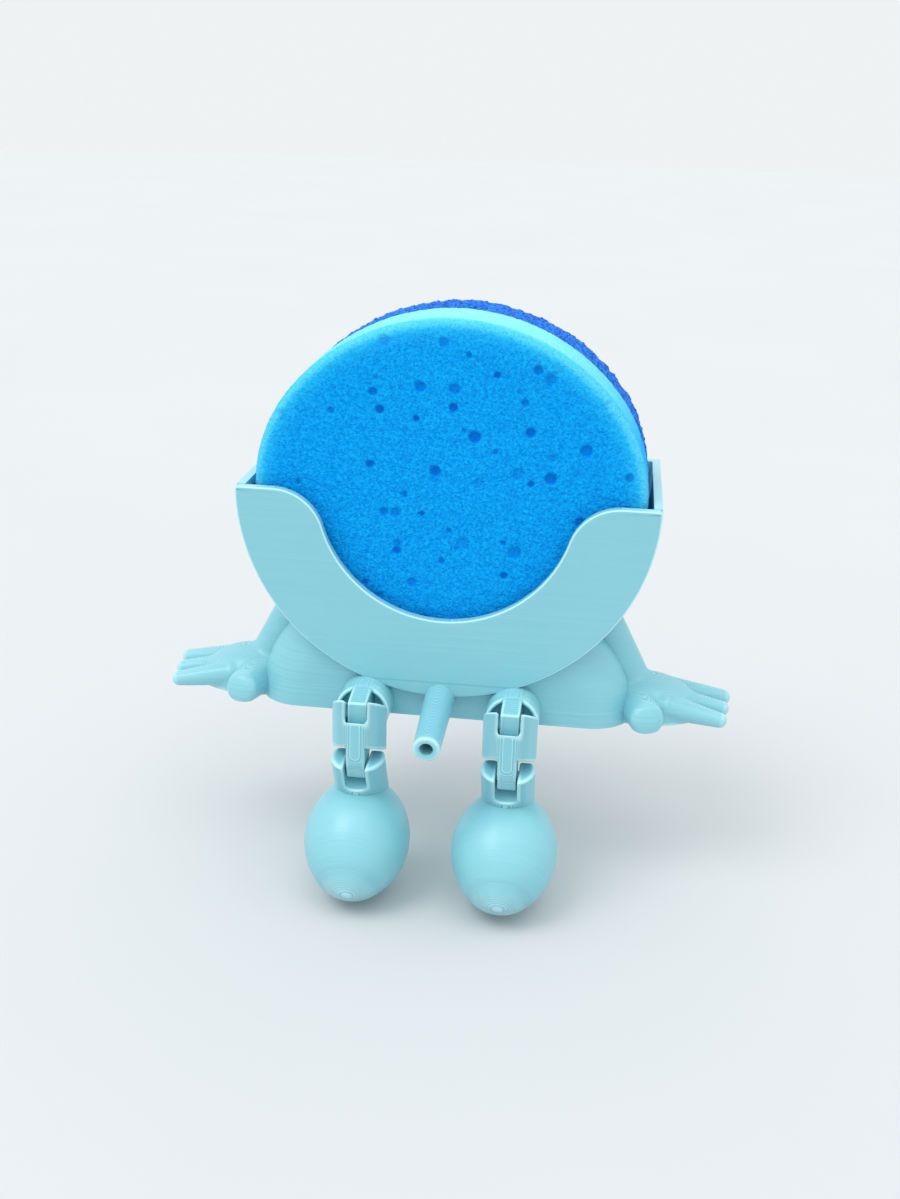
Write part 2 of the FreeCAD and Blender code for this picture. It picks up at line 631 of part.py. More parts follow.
# Nothing is written unless every object was recomputed and every sub-part is a sound solid
doc.recompute()
for thing in doc.Objects:
    if "Invalid" in thing.State or "Error" in thing.State:
        raise RuntimeError("%s failed: %s" % (thing.Name, thing.State))
for thing in nodes:
    if thing.Shape.isNull() or not thing.Shape.isValid() or thing.Shape.Volume <= 0:
        raise RuntimeError("%s has no sound shape" % thing.Label)

os.makedirs("parts", exist_ok=True)
for thing in nodes:
    thing.Shape.exportStep("parts/%s.step" % thing.Label)
    box = thing.Shape.BoundBox
    print("%-16s %d solid, %8.0f mm3, x %6.1f %6.1f, y %6.1f %6.1f, z %6.1f %6.1f" % (
        thing.Label, len(thing.Shape.Solids), thing.Shape.Volume,
        box.XMin, box.XMax, box.YMin, box.YMax, box.ZMin, box.ZMax))
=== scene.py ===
import bpy
import numpy as np
from mathutils import Matrix


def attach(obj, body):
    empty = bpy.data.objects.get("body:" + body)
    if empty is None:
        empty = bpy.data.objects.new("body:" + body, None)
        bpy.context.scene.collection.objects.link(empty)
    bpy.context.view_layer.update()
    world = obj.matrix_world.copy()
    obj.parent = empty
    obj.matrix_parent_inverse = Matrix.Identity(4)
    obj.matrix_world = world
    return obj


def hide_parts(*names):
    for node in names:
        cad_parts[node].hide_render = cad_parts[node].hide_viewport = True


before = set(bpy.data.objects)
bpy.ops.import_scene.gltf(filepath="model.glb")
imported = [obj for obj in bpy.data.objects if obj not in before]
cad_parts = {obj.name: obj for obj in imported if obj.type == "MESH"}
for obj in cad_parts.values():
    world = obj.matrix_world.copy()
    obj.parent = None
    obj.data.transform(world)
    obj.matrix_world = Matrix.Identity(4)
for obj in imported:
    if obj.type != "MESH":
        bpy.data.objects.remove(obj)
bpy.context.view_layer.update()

# Base and cradle: the rounded block, the half-round trough and the rear wall stand upright on the
# print bed, in one satin aqua plastic. Their layers lie level, and each is a hair off the last.
MM = 0.001
AQUA = (0.215, 0.548, 0.635, 1.0)
AQUA_PALE = (0.265, 0.617, 0.70, 1.0)
# The next two colours are painted light: a painted highlight for sharp edges and the rims of layers, and
# painted shade for creases, the steps between layers and the seam.
AQUA_HIGHLIGHT = (0.60, 0.93, 0.96, 1.0)
AQUA_SHADE = (0.02, 0.27, 0.34, 1.0)
HIGHLIGHT_SHARE = 0.8
CREASE_SHADE_SHARE = 0.75
SEAM_HALF = 0.35
SEAM_SHADE = 0.55
SATIN = 0.28
SATIN_CHANGE = 0.16
WAVER = 0.14
WAVER_SCALE = 90.0
SHALLOW = (0.62, 0.93)
RIM_END = 0.35
SHADE_START = 0.72
STREAK_ACROSS = 1300.0
STREAK_ALONG = 22.0
CLOUD_SCALE = 38.0
UPRIGHT = (0.0, 0.0, 1.0)


def add_node(tree, kind, values=None, **settings):
    """A node with its settings, whose inputs take plain values or are linked to other sockets."""
    made = tree.nodes.new(kind)
    for name, value in settings.items():
        setattr(made, name, value)
    for name, value in (values or {}).items():
        if isinstance(value, bpy.types.NodeSocket):
            tree.links.new(value, made.inputs[name])
        else:
            made.inputs[name].default_value = value
    return made


def math_node(tree, operation, *values):
    """The output of a math node."""
    return add_node(tree, "ShaderNodeMath", dict(enumerate(values)), operation=operation).outputs[0]


def vector_node(tree, operation, *values, output=0):
    """An output of a vector math node. To scale a vector, the second value is the factor."""
    sockets = (0, "Scale") if operation == "SCALE" else range(len(values))
    made = add_node(tree, "ShaderNodeVectorMath", dict(zip(sockets, values)), operation=operation)
    return made.outputs[output]


def range_node(tree, value, low, high, to_low=0.0, to_high=1.0, **settings):
    """A value mapped from one range to another and kept inside it."""
    ends = {"Value": value, "From Min": low, "From Max": high, "To Min": to_low, "To Max": to_high}
    return add_node(tree, "ShaderNodeMapRange", ends, **settings).outputs[0]


def mix_node(tree, share, first, second):
    """A colour that is a share of the way from one to another."""
    ends = {"Factor": share, "A": first, "B": second}
    return add_node(tree, "ShaderNodeMix", ends, data_type="RGBA").outputs["Result"]


def new_material(name):
    """A material with its tree of nodes, its shader and its texture coordinates."""
    material = bpy.data.materials.new(name)
    material.use_nodes = True
    tree = material.node_tree
    return material, tree, tree.nodes["Principled BSDF"], tree.nodes.new("ShaderNodeTexCoord")


def new_group(name, inputs, outputs):
    """An empty shader node group with its sockets, and its input and output nodes."""
    group = bpy.data.node_groups.new(name, "ShaderNodeTree")
    for label, kind in inputs:
        group.interface.new_socket(label, in_out="INPUT", socket_type="NodeSocket" + kind)
    for label, kind in outputs:
        group.interface.new_socket(label, in_out="OUTPUT", socket_type="NodeSocket" + kind)
    return group, group.nodes.new("NodeGroupInput"), group.nodes.new("NodeGroupOutput")


def make_print_layers():
    """Printed layers stacked along a build direction from a start.

    Terrace is minus a point's height above the foot of its layer, in metres. Line is 1 at the foot,
    where a layer's rim catches the light, and -1 at the top, in the next one's shade. Both fade out
    where the wall is steep. Streak is noise stretched out along the layers, and Cloud is broad noise.
    """
    group, given, out = new_group(
        "print_layers",
        [("Place", "Vector"), ("Facing", "Vector"), ("Build direction", "Vector"), ("Start", "Float"),
         ("Layer", "Float")],
        [("Terrace", "Float"), ("Line", "Float"), ("Streak", "Float"), ("Cloud", "Float")])
    place, facing = given.outputs["Place"], given.outputs["Facing"]
    build, layer = given.outputs["Build direction"], given.outputs["Layer"]
    height = vector_node(group, "DOT_PRODUCT", place, build, output=1)
    wander = add_node(group, "ShaderNodeTexNoise", {"Vector": place, "Scale": WAVER_SCALE, "Detail": 1.0})
    waver = math_node(group, "MULTIPLY", wander.outputs["Fac"], WAVER)
    above = math_node(group, "SUBTRACT", height, given.outputs["Start"])
    count = math_node(group, "ADD", math_node(group, "DIVIDE", above, layer), waver)
    part = math_node(group, "FRACT", count)
    level = vector_node(group, "DOT_PRODUCT", facing, build, output=1)
    shallow = range_node(group, math_node(group, "ABSOLUTE", level), *SHALLOW,
                         interpolation_type="SMOOTHSTEP")
    step = math_node(group, "MULTIPLY", math_node(group, "MULTIPLY", part, layer), shallow)
    group.links.new(math_node(group, "MULTIPLY", step, -1.0), out.inputs["Terrace"])
    rim = range_node(group, part, 0.0, RIM_END, 1.0, 0.0)
    line = math_node(group, "SUBTRACT", rim, range_node(group, part, SHADE_START, 1.0))
    group.links.new(math_node(group, "MULTIPLY", line, shallow), out.inputs["Line"])
    along = vector_node(group, "SCALE", build, math_node(group, "MULTIPLY", height, STREAK_ACROSS))
    drawn = vector_node(group, "ADD", vector_node(group, "SCALE", place, STREAK_ALONG), along)
    streak = add_node(group, "ShaderNodeTexNoise", {"Vector": drawn, "Scale": 1.0, "Detail": 2.5})
    group.links.new(streak.outputs["Fac"], out.inputs["Streak"])
    cloud = add_node(group, "ShaderNodeTexNoise", {"Vector": place, "Scale": CLOUD_SCALE, "Detail": 2.0})
    group.links.new(cloud.outputs["Fac"], out.inputs["Cloud"])
    return group


print_layers = make_print_layers()


def printed_plastic(name, build, start=0.0, layer=0.2 * MM, terrace=0.6, contour=0.35, ribs=0.3, seam=None):
    """Satin plastic with layers along a build direction and a slight change of shade between layers.

    The piece's attribute bend is 1 on its sharp edges, which get a thin painted highlight, and
    -1 in its creases, which get painted shade. A seam is a printed line at a height where one layer
    stands back; the shade in that step is painted in as a dark line.
    """
    material, tree, shader, spot = new_material(name)
    marks = add_node(tree, "ShaderNodeGroup", node_tree=print_layers)
    tree.links.new(spot.outputs["Object"], marks.inputs["Place"])
    tree.links.new(spot.outputs["Normal"], marks.inputs["Facing"])
    marks.inputs["Build direction"].default_value = build
    marks.inputs["Start"].default_value = start
    marks.inputs["Layer"].default_value = layer
    shade = math_node(tree, "MULTIPLY_ADD", marks.outputs["Streak"], 0.4 + ribs,
                      math_node(tree, "MULTIPLY_ADD", marks.outputs["Cloud"], 0.4, -ribs / 2))
    colour = mix_node(tree, shade, AQUA, AQUA_PALE)
    bend = add_node(tree, "ShaderNodeAttribute", attribute_name="bend").outputs["Fac"]
    light_and_shade = math_node(tree, "MULTIPLY_ADD", marks.outputs["Line"], contour, bend)
    if seam is not None:
        height = add_node(tree, "ShaderNodeSeparateXYZ", {"Vector": spot.outputs["Object"]}).outputs["Z"]
        apart = math_node(tree, "ABSOLUTE", math_node(tree, "SUBTRACT", height, seam))
        groove = range_node(tree, apart, 0.0, SEAM_HALF * MM, -SEAM_SHADE, 0.0)
        light_and_shade = math_node(tree, "ADD", light_and_shade, groove)
    # Painted highlight on sharp edges and layer rims, and painted shade in creases, layer steps and the seam.
    highlighted = mix_node(tree, range_node(tree, light_and_shade, 0.0, 1.0, 0.0, HIGHLIGHT_SHARE), colour, AQUA_HIGHLIGHT)
    shaded = mix_node(tree, range_node(tree, light_and_shade, 0.0, -1.0, 0.0, CREASE_SHADE_SHARE), highlighted, AQUA_SHADE)
    tree.links.new(shaded, shader.inputs["Base Color"])
    polish = math_node(tree, "MULTIPLY_ADD", marks.outputs["Streak"], SATIN_CHANGE, SATIN)
    tree.links.new(polish, shader.inputs["Roughness"])
    fine = add_node(tree, "ShaderNodeBump", {"Strength": ribs, "Distance": 0.3 * MM,
                                             "Height": marks.outputs["Streak"]})
    steps = add_node(tree, "ShaderNodeBump", {"Strength": terrace, "Distance": 1.0,
                                              "Height": marks.outputs["Terrace"],
                                              "Normal": fine.outputs["Normal"]})
    tree.links.new(steps.outputs["Normal"], shader.inputs["Normal"])
    shader.inputs["Subsurface Weight"].default_value = 0.18
    shader.inputs["Subsurface Radius"].default_value = (0.4, 0.9, 1.0)
    shader.inputs["Subsurface Scale"].default_value = 1.6 * MM
    shader.inputs["Specular IOR Level"].default_value = 0.65
    return material


upright_print = printed_plastic("aqua_print_upright", UPRIGHT)
ribbed_print = printed_plastic("aqua_print_ribbed", UPRIGHT, terrace=0.8, contour=0.5, ribs=0.5)
for name, finish in (("base", ribbed_print), ("trough_wall", upright_print), ("back_plate", upright_print)):
    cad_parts[name].data.materials.clear()
    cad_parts[name].data.materials.append(finish)

# Front plate: a half disc 3 mm thick with a round notch, printed on edge together with the trough.
# Its rims are rounded over by the width of a bead, so they catch the light as a thin line, which is also
# painted in as a pale painted highlight.
PLATE_RADIUS = 60.0
PLATE_TOP = 68.0
PLATE_FRONT = -29.0
PLATE_BACK = -26.0
NOTCH_RADIUS = 36.5
HORN_RADIUS = 15.0
PLATE_CORNER = 0.9
PLATE_RIM = 0.55
PLATE_SEAM = 12.3
RIM_STEPS = 5


def new_piece(name, points, faces, body, slot, material, nodes, **masks):
    """A smooth mesh object from points in millimetres, riding on a body in place of CAD nodes.

    Each mask is an attribute with one value for each point.
    """
    mesh = bpy.data.meshes.new(name)
    mesh.from_pydata(np.asarray(points) * MM, [], faces)
    mesh.validate()
    mesh.shade_smooth()
    mesh.materials.append(material)
    for label, mask in masks.items():
        attribute = mesh.attributes.new(label, "FLOAT", "POINT")
        attribute.data.foreach_set("value", np.asarray(mask, np.float32))
    piece = bpy.data.objects.new(name, mesh)
    bpy.context.scene.collection.objects.link(piece)
    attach(piece, body)
    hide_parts(*nodes)
    return piece


def arc(centre, radius, start, end, count):
    """Points on a circle: centre plus radius times (cos, sin) of an even run of angles in degrees."""
    angle = np.radians(np.linspace(start, end, count))
    return np.array(centre) + radius * np.stack([np.cos(angle), np.sin(angle)], 1)


def ring_faces(rings, columns):
    """Quads between neighbouring closed rings of equally many points."""
    ring, column = np.meshgrid(np.arange(rings - 1), np.arange(columns), indexing="ij")
    after = (column + 1) % columns
    quads = [ring * columns + column, ring * columns + after,
             (ring + 1) * columns + after, (ring + 1) * columns + column]
    return np.stack(quads, -1).reshape(-1, 4)


def plate_edges():
    """The plate's outer and inner edges in x and z, each from left to right with as many points.

    The outer edge is a half circle with small round corners at the top. The inner edge is the notch
    circle between two horn arcs, each tangent to both the notch and the level top.
    """
    horn_x = np.sqrt((NOTCH_RADIUS + HORN_RADIUS) ** 2 - HORN_RADIUS ** 2)
    horn_z = PLATE_TOP - HORN_RADIUS
    dip = np.degrees(np.arctan2(HORN_RADIUS, horn_x))
    corner_z = PLATE_TOP - PLATE_CORNER
    corner_x = np.sqrt((PLATE_RADIUS - PLATE_CORNER) ** 2 - PLATE_CORNER ** 2)
    sink = np.degrees(np.arctan2(PLATE_CORNER, corner_x))
    outer = np.concatenate([
        arc((-corner_x, corner_z), PLATE_CORNER, 90, 180 + sink, 10)[:-1],
        arc((0, PLATE_TOP), PLATE_RADIUS, 180 + sink, 360 - sink, 301),
        arc((corner_x, corner_z), PLATE_CORNER, -sink, 90, 10)[1:]])
    inner = np.concatenate([
        arc((-horn_x, horn_z), HORN_RADIUS, 90, dip, 50)[:-1],
        arc((0, PLATE_TOP), NOTCH_RADIUS, 180 + dip, 360 - dip, 221),
        arc((horn_x, horn_z), HORN_RADIUS, 180 - dip, 90, 50)[1:]])
    return outer, inner


def rounded_slab(outer, inner, front, back, rim):
    """A plate with rounded rims between two depths.

    Each ring is the outline moved inwards by a distance and set at a depth. From the front they run
    flat, over a quarter circle of the rim's radius, across the edge, and over another to the back.
    Strips from the outer edge to the inner one close the two faces. The painted light is the sine of
    twice the angle turned: a painted highlight along the middle of each rim.
    """
    outline = np.concatenate([outer, inner[::-1]])
    tangent = np.roll(outline, -1, 0) - np.roll(outline, 1, 0)
    tangent /= np.linalg.norm(tangent, axis=1, keepdims=True)
    inwards = np.stack([-tangent[:, 1], tangent[:, 0]], 1)
    turn = np.linspace(0, np.pi / 2, RIM_STEPS)
    inset = np.concatenate([[2 * rim], rim * (1 - np.sin(turn))])
    depth = np.concatenate([[0], rim * (1 - np.cos(turn))])
    insets = np.concatenate([inset, inset[::-1]])
    depths = np.concatenate([front + depth, back - depth[::-1]])
    rings = outline[None] + insets[:, None, None] * inwards[None]
    across = np.broadcast_to(depths[:, None], rings.shape[:2])
    points = np.stack([rings[..., 0], across, rings[..., 1]], -1)
    count = len(outline)
    first = np.arange(len(outer) - 1)
    strip = np.stack([first, first + 1, count - 2 - first, count - 1 - first], 1)
    far_strip = strip[:, ::-1] + (len(insets) - 1) * count
    faces = np.concatenate([ring_faces(len(insets), count)[:, ::-1], strip, far_strip])
    bend = np.concatenate([[0], np.sin(2 * turn)])
    bends = np.repeat(np.concatenate([bend, bend[::-1]]), count)
    return points.reshape(-1, 3), faces.tolist(), bends


plate_points, plate_faces, plate_bend = rounded_slab(*plate_edges(), PLATE_FRONT, PLATE_BACK, PLATE_RIM)
plate_print = printed_plastic("aqua_print_plate", UPRIGHT, ribs=0.15, seam=PLATE_SEAM * MM)
new_piece("front_wall", plate_points, plate_faces, "holder", "aqua_print", plate_print, ["front_plate"],
          bend=plate_bend)

# Drain spout: a plain tube that slopes out from under the plate between the legs. It is printed in
# place, its lip is rounded and its bore runs back to the trough.
SPOUT_RADIUS = 3.85
SPOUT_ROOT_RADIUS = 4.4
SPOUT_BORE = 1.9
SPOUT_LIP = 0.9
SPOUT_MOUTH = 0.35
SPOUT_REACH = 28.0
SPOUT_HEIGHT = 7.3
SPOUT_SLOPE = np.radians(5.9)
SPOUT_SIDES = 96
BORE_START = 2.0
ROOT_START = -2.0


def closed_faces(rows, columns, turned_over=False):
    """Quads between closed rings, and a fan round the middle of each end.

    The two middle points come after the points of the rings.
    """
    first = np.arange(columns)
    last = (rows - 1) * columns + first
    fan = np.stack([np.full(columns, rows * columns), np.roll(first, -1), first], 1)
    fan_end = np.stack([np.full(columns, rows * columns + 1), last, np.roll(last, -1)], 1)
    way = -1 if turned_over else 1
    return [face for part in (ring_faces(rows, columns), fan, fan_end) for face in part[:, ::way].tolist()]


def turned(profile, origin, along, sides):
    """A profile of radius and distance turned round an axis that lies in the plane x = origin x.

    A point is origin + s * along + r * (cos t * X + sin t * (along x X)). The profile starts and ends
    on the axis.
    """
    along = np.asarray(along, float)
    sideways = np.array([1.0, 0.0, 0.0])
    upwards = np.cross(along, sideways)
    turn = np.linspace(0, 2 * np.pi, sides, endpoint=False)
    round_way = np.cos(turn)[:, None] * sideways + np.sin(turn)[:, None] * upwards
    inner = profile[1:-1]
    rings = origin + inner[:, 1, None, None] * along + inner[:, 0, None, None] * round_way[None]
    ends = np.asarray(origin) + profile[[0, -1], 1, None] * along
    return np.concatenate([rings.reshape(-1, 3), ends]), closed_faces(len(inner), sides)


def spout_profile():
    """Radius and distance from the plate's face: out along the bore, round the lip and back outside."""
    end = SPOUT_REACH / np.cos(SPOUT_SLOPE)
    turn = np.linspace(0, np.pi / 2, 8)
    mouth = np.stack([SPOUT_BORE + SPOUT_MOUTH * (1 - np.cos(turn)),
                      end - SPOUT_MOUTH * (1 - np.sin(turn))], 1)
    lip = np.stack([SPOUT_RADIUS - SPOUT_LIP * (1 - np.sin(turn)),
                    end - SPOUT_LIP * (1 - np.cos(turn))], 1)
    bore = np.stack([np.full(30, SPOUT_BORE), np.linspace(BORE_START, end - 1, 30)], 1)
    outside = np.stack([np.linspace(SPOUT_RADIUS, SPOUT_ROOT_RADIUS, 40),
                        np.linspace(end - 1.5, ROOT_START, 40)], 1)
    return np.concatenate([[(0, BORE_START)], [(SPOUT_BORE * 0.9, BORE_START)], bore, mouth, lip, outside,
                           [(SPOUT_RADIUS * 0.9, ROOT_START)], [(0, ROOT_START)]])


SPOUT_ALONG = (0.0, -np.cos(SPOUT_SLOPE), -np.sin(SPOUT_SLOPE))
spout_points, spout_faces = turned(spout_profile(), np.array([0, PLATE_FRONT, SPOUT_HEIGHT]),
                                   SPOUT_ALONG, SPOUT_SIDES)
# Painted highlight: the rounded lip is painted pale, fading away from its outer corner.
lip_corner = (SPOUT_RADIUS, SPOUT_REACH / np.cos(SPOUT_SLOPE))
from_lip = np.linalg.norm(spout_profile()[1:-1] - lip_corner, axis=1) / SPOUT_LIP
spout_bend = np.append(np.repeat(np.exp(-from_lip ** 2), SPOUT_SIDES), [0, 0])
new_piece("drain_tube", spout_points, spout_faces, "holder", "aqua_print", ribbed_print, ["drain_spout"],
          bend=spout_bend)

# Arms and hands: each arm is a slanted rod that grows out of the cradle's side and runs into a flat
# hand with three fingers and a thumb. They are printed as one, so the wrist and knuckles flow.
ARM_FOOT = (60.4, -9.0, 0.0)
ARM_LEAN = np.radians(27.5)
ARM_LENGTH = 40.0
ARM_RADIUS = 5.75
ARM_DEPTH_IN_WALL = 0.6
PALM_MIDDLE = (59.5, -10.2, 0.0)
PALM_REACH = (17.4, 11.0, 12.6)
KNUCKLE_X = 66.0
KNUCKLE_HEIGHT = 5.0
KNUCKLE_RADIUS = 3.9
FINGER_Y = -9.8
FINGER_PITCH = 6.7
FINGER_LENGTH = 16.8
FINGER_STAGGER = 1.0
FINGER_FAN = np.radians(6.5)
FINGER_TIP_HEIGHT = 2.5
FINGER_TIP_RADIUS = 2.3
THUMB_ROOT = (56.6, -12.8, 4.4)
THUMB_WAY = np.array([np.sin(np.radians(18)), -np.cos(np.radians(18)), -0.05])
THUMB_REACH = 11.6
THUMB_RADII = (5.6, 5.1)
THUMB_FACET = 3.6
THUMB_FACET_TILT = 0.35
FINGER_BLEND = 0.25
KNUCKLE_BLEND = 0.9
WRIST_BLEND = 1.2
THUMB_BLEND = 1.0
FACET_BLEND = 2.8
SOLE_EDGE = 0.9
HAND_CELL = 0.34
HAND_LOW = (36, -31, -1)
HAND_HIGH = (90, 5, 42)
# Curvatures over which sharp edges fade into a painted highlight and creases into painted shade.
EDGE_LIGHT_CURVE = (0.3, 1.7)
CREASE_SHADE_CURVE = (0.7, 2.2)
INNER_SHADE = 0.5
INNER_SHADE_FROM = (5.0, 9.0)
HAND_LAYER = 0.27
hand_print = printed_plastic("aqua_print_hand", UPRIGHT, layer=HAND_LAYER * MM, terrace=0.6, contour=0.6,
                             ribs=0.5)


def smooth_max(a, b, soft):
    """The larger of two distances, with the edge between them rounded over about the given width.

    Where the two differ by less than the width, the square of the rest, over four, is added.
    """
    near = np.maximum(soft - np.abs(a - b), 0)
    return np.maximum(a, b) + near * near / (4 * soft)


def smooth_min(a, b, soft):
    """The smaller of two distances, with the crease between them filled over about the given width."""
    return -smooth_max(-a, -b, soft)


def round_cone(spot, start, end, first, last):
    """Distance to a tapering rod with round ends: from the axis at its nearest share, less the radius."""
    start, way = np.asarray(start, float), np.asarray(end, float) - np.asarray(start, float)
    share = np.clip(((spot - start) @ way) / (way @ way), 0, 1)
    return np.linalg.norm(spot - start - share[..., None] * way, axis=-1) - first - share * (last - first)


def ellipsoid(spot, middle, reach):
    """About the distance to an ellipsoid: k (k - 1) / g, with k = |p / r| and g = |p / r squared|."""
    from_middle, reach = spot - np.asarray(middle), np.asarray(reach)
    level = np.linalg.norm(from_middle / reach, axis=-1)
    slope = np.linalg.norm(from_middle / reach ** 2, axis=-1)
    return level * (level - 1) / np.maximum(slope, 1e-9)


def surface_net(distance, low, cell):
    """A closed skin where a field of distances on a grid of cells crosses zero.

    Each cell that the skin passes through has one point, the mean of the crossings on its edges, and
    each grid edge that the skin crosses has a quad between the four cells round it. The painted light
    at a point comes from the sum of the field's second slopes, from -1 in a crease, for painted shade,
    to 1 on an edge, for a painted highlight.
    """
    solid = distance < 0
    cells = tuple(count - 1 for count in distance.shape)
    total, hits = np.zeros(cells + (3,)), np.zeros(cells)
    crossed = []
    for axis in range(3):
        start = tuple(slice(0, -1) if i == axis else slice(None) for i in range(3))
        end = tuple(slice(1, None) if i == axis else slice(None) for i in range(3))
        cross = solid[start] != solid[end]
        share = np.where(cross, distance[start] / np.where(cross, distance[start] - distance[end], 1), 0)
        crossed.append(cross)
        across, over = (axis + 1) % 3, (axis + 2) % 3
        for step in range(2):
            for rise in range(2):
                cut = [slice(None)] * 3
                cut[across] = slice(step, step + cells[across])
                cut[over] = slice(rise, rise + cells[over])
                hit = cross[tuple(cut)]
                total[..., axis] += share[tuple(cut)]
                total[..., across] += step * hit
                total[..., over] += rise * hit
                hits += hit
    used = hits > 0
    number = np.cumsum(used).reshape(cells) - 1
    points = np.asarray(low) + cell * (np.argwhere(used) + total[used] / hits[used][:, None])
    faces = []
    for axis in range(3):
        spot = np.argwhere(crossed[axis])
        across, over = np.eye(3, dtype=int)[(axis + 1) % 3], np.eye(3, dtype=int)[(axis + 2) % 3]
        corners = (across + over, over, 0 * over, across)
        quad = np.stack([number[tuple((spot - corner).T)] for corner in corners], 1)
        outwards = solid[tuple(spot.T)]
        faces.append(np.where(outwards[:, None], quad, quad[:, ::-1]))
    curve = sum(np.gradient(np.gradient(distance, cell, axis=i), cell, axis=i) for i in range(3))
    curve = curve[:-1, :-1, :-1][used]
    bend = np.interp(curve, EDGE_LIGHT_CURVE, (0, 1)) - np.interp(-curve, CREASE_SHADE_CURVE, (0, 1))
    return points, np.concatenate(faces), bend


def grid_of(low, high, cell):
    """The points of a level grid between two corners, as an array of x, y and z."""
    steps = [np.arange(start, end + cell, cell) for start, end in zip(low, high)]
    return np.stack(np.meshgrid(*steps, indexing="ij"), -1)


def hand_distance(spot):
    """Distance to the right arm and hand, worked out as rods and a dome that melt into each other."""
    x, y, z = np.moveaxis(spot, -1, 0)
    way = np.array([-np.sin(ARM_LEAN), 0, np.cos(ARM_LEAN)])
    arm = round_cone(spot, ARM_FOOT, np.array(ARM_FOOT) + ARM_LENGTH * way, ARM_RADIUS, ARM_RADIUS)
    palm = ellipsoid(spot, PALM_MIDDLE, PALM_REACH)
    fingers = np.full(x.shape, 1e3)
    for step in (-1, 0, 1):
        knuckle = np.array([KNUCKLE_X, FINGER_Y + step * FINGER_PITCH, KNUCKLE_HEIGHT])
        length = FINGER_LENGTH + step * FINGER_STAGGER
        tip = knuckle + length * np.array([np.cos(step * FINGER_FAN), np.sin(step * FINGER_FAN), 0])
        tip[2] = FINGER_TIP_HEIGHT
        finger = round_cone(spot, knuckle, tip, KNUCKLE_RADIUS, FINGER_TIP_RADIUS)
        fingers = smooth_min(fingers, finger, FINGER_BLEND)
    tip = np.array(THUMB_ROOT) + THUMB_REACH * THUMB_WAY
    thumb = round_cone(spot, THUMB_ROOT, tip, *THUMB_RADII)
    facet = THUMB_WAY + (0, 0, THUMB_FACET_TILT)
    facet /= np.linalg.norm(facet)
    thumb = smooth_max(thumb, (spot - tip) @ facet - THUMB_FACET, FACET_BLEND)
    hand = smooth_min(palm, fingers, KNUCKLE_BLEND)
    hand = smooth_min(hand, arm, WRIST_BLEND)
    hand = smooth_min(hand, thumb, THUMB_BLEND)
    hand = smooth_max(hand, -z, SOLE_EDGE)
    drum = np.hypot(x, z - PLATE_TOP) - PLATE_RADIUS + ARM_DEPTH_IN_WALL
    return np.maximum(hand, -drum)


hand_points, hand_faces, hand_bend = surface_net(
    hand_distance(grid_of(HAND_LOW, HAND_HIGH, HAND_CELL)), HAND_LOW, HAND_CELL)
# Painted shade: the side of each arm that faces the base is darkened from just above the hand upwards, as
# where the base shades it.
arm_axis = ARM_FOOT[0] - hand_points[:, 2] * np.tan(ARM_LEAN)
towards_base = np.clip((arm_axis - hand_points[:, 0]) / ARM_RADIUS, 0, 1)
hand_bend -= INNER_SHADE * towards_base * np.interp(hand_points[:, 2], INNER_SHADE_FROM, (0, 1))
for side, flip in (("left", -1), ("right", 1)):
    new_piece(side + "_arm_and_hand", hand_points * (flip, 1, 1), hand_faces[:, ::flip].tolist(), "holder",
              "aqua_print", hand_print, [side + "_arm", side + "_hand"], bend=hand_bend)

# Hips: short round stubs printed on the plate, hollow at the end like a hood. A tongue with a sloping
# top reaches out of each, and the shin's fork turns on it.
LEG_X = 21.75
LEG_Y = -42.0
HIP_Z = 7.0
LEG_RADIUS = 7.8
TONGUE_HALF = 2.7
STUB_Z = -2.4
HOOD_FRONT = 6.1
HOOD_DEPTH = 3.4
HOOD_WALL = 1.1
STUB_BACK = 15.8
TONGUE_FACE = 2.2
TONGUE_TOP = 3.7
KNUCKLE = float(np.hypot(TONGUE_FACE, TONGUE_TOP))
LEG_CELL = 0.22
EDGE = 0.7
TONGUE_EDGE = 0.5
HOOD_EDGE = 0.4


def hip_distance(spot):
    """Distance to a hip about its hinge axis: a hollow stub, and a tongue inside the stub's roundness."""
    x, y, z = np.moveaxis(spot, -1, 0)
    round_off = np.hypot(x, z - STUB_Z) - LEG_RADIUS
    stub = smooth_max(round_off, HOOD_FRONT - y, EDGE)
    hollow = smooth_max(round_off + HOOD_WALL, y - HOOD_FRONT - HOOD_DEPTH, EDGE)
    hood = smooth_max(stub, -hollow, HOOD_EDGE)
    tilt = np.arctan2(STUB_Z + LEG_RADIUS - TONGUE_TOP, HOOD_FRONT + TONGUE_FACE)
    roof = (z - TONGUE_TOP) * np.cos(tilt) - (y + TONGUE_FACE) * np.sin(tilt)
    below = np.where(y < 0, np.where(z < 0, np.hypot(y, z), 0) - KNUCKLE, -z - KNUCKLE)
    face = smooth_max(-TONGUE_FACE - y, roof, TONGUE_EDGE)
    tongue = smooth_max(np.maximum(face, below), np.abs(x) - TONGUE_HALF, TONGUE_EDGE)
    tongue = smooth_max(tongue, round_off, EDGE)
    whole = smooth_min(hood, tongue, HOOD_EDGE)
    whole = smooth_max(whole, -z - HIP_Z, TONGUE_EDGE)
    return np.maximum(whole, y - STUB_BACK)


hip_low, hip_high = (-9, -4, -8), (9, 17, 7)
hip_points, hip_faces, hip_bend = surface_net(
    hip_distance(grid_of(hip_low, hip_high, LEG_CELL)), hip_low, LEG_CELL)
for side, x in (("left", -LEG_X), ("right", LEG_X)):
    new_piece(side + "_hip_stub", hip_points + (x, LEG_Y, HIP_Z), hip_faces.tolist(), "holder", "aqua_print",
              upright_print, [side + "_hip"], bend=hip_bend)

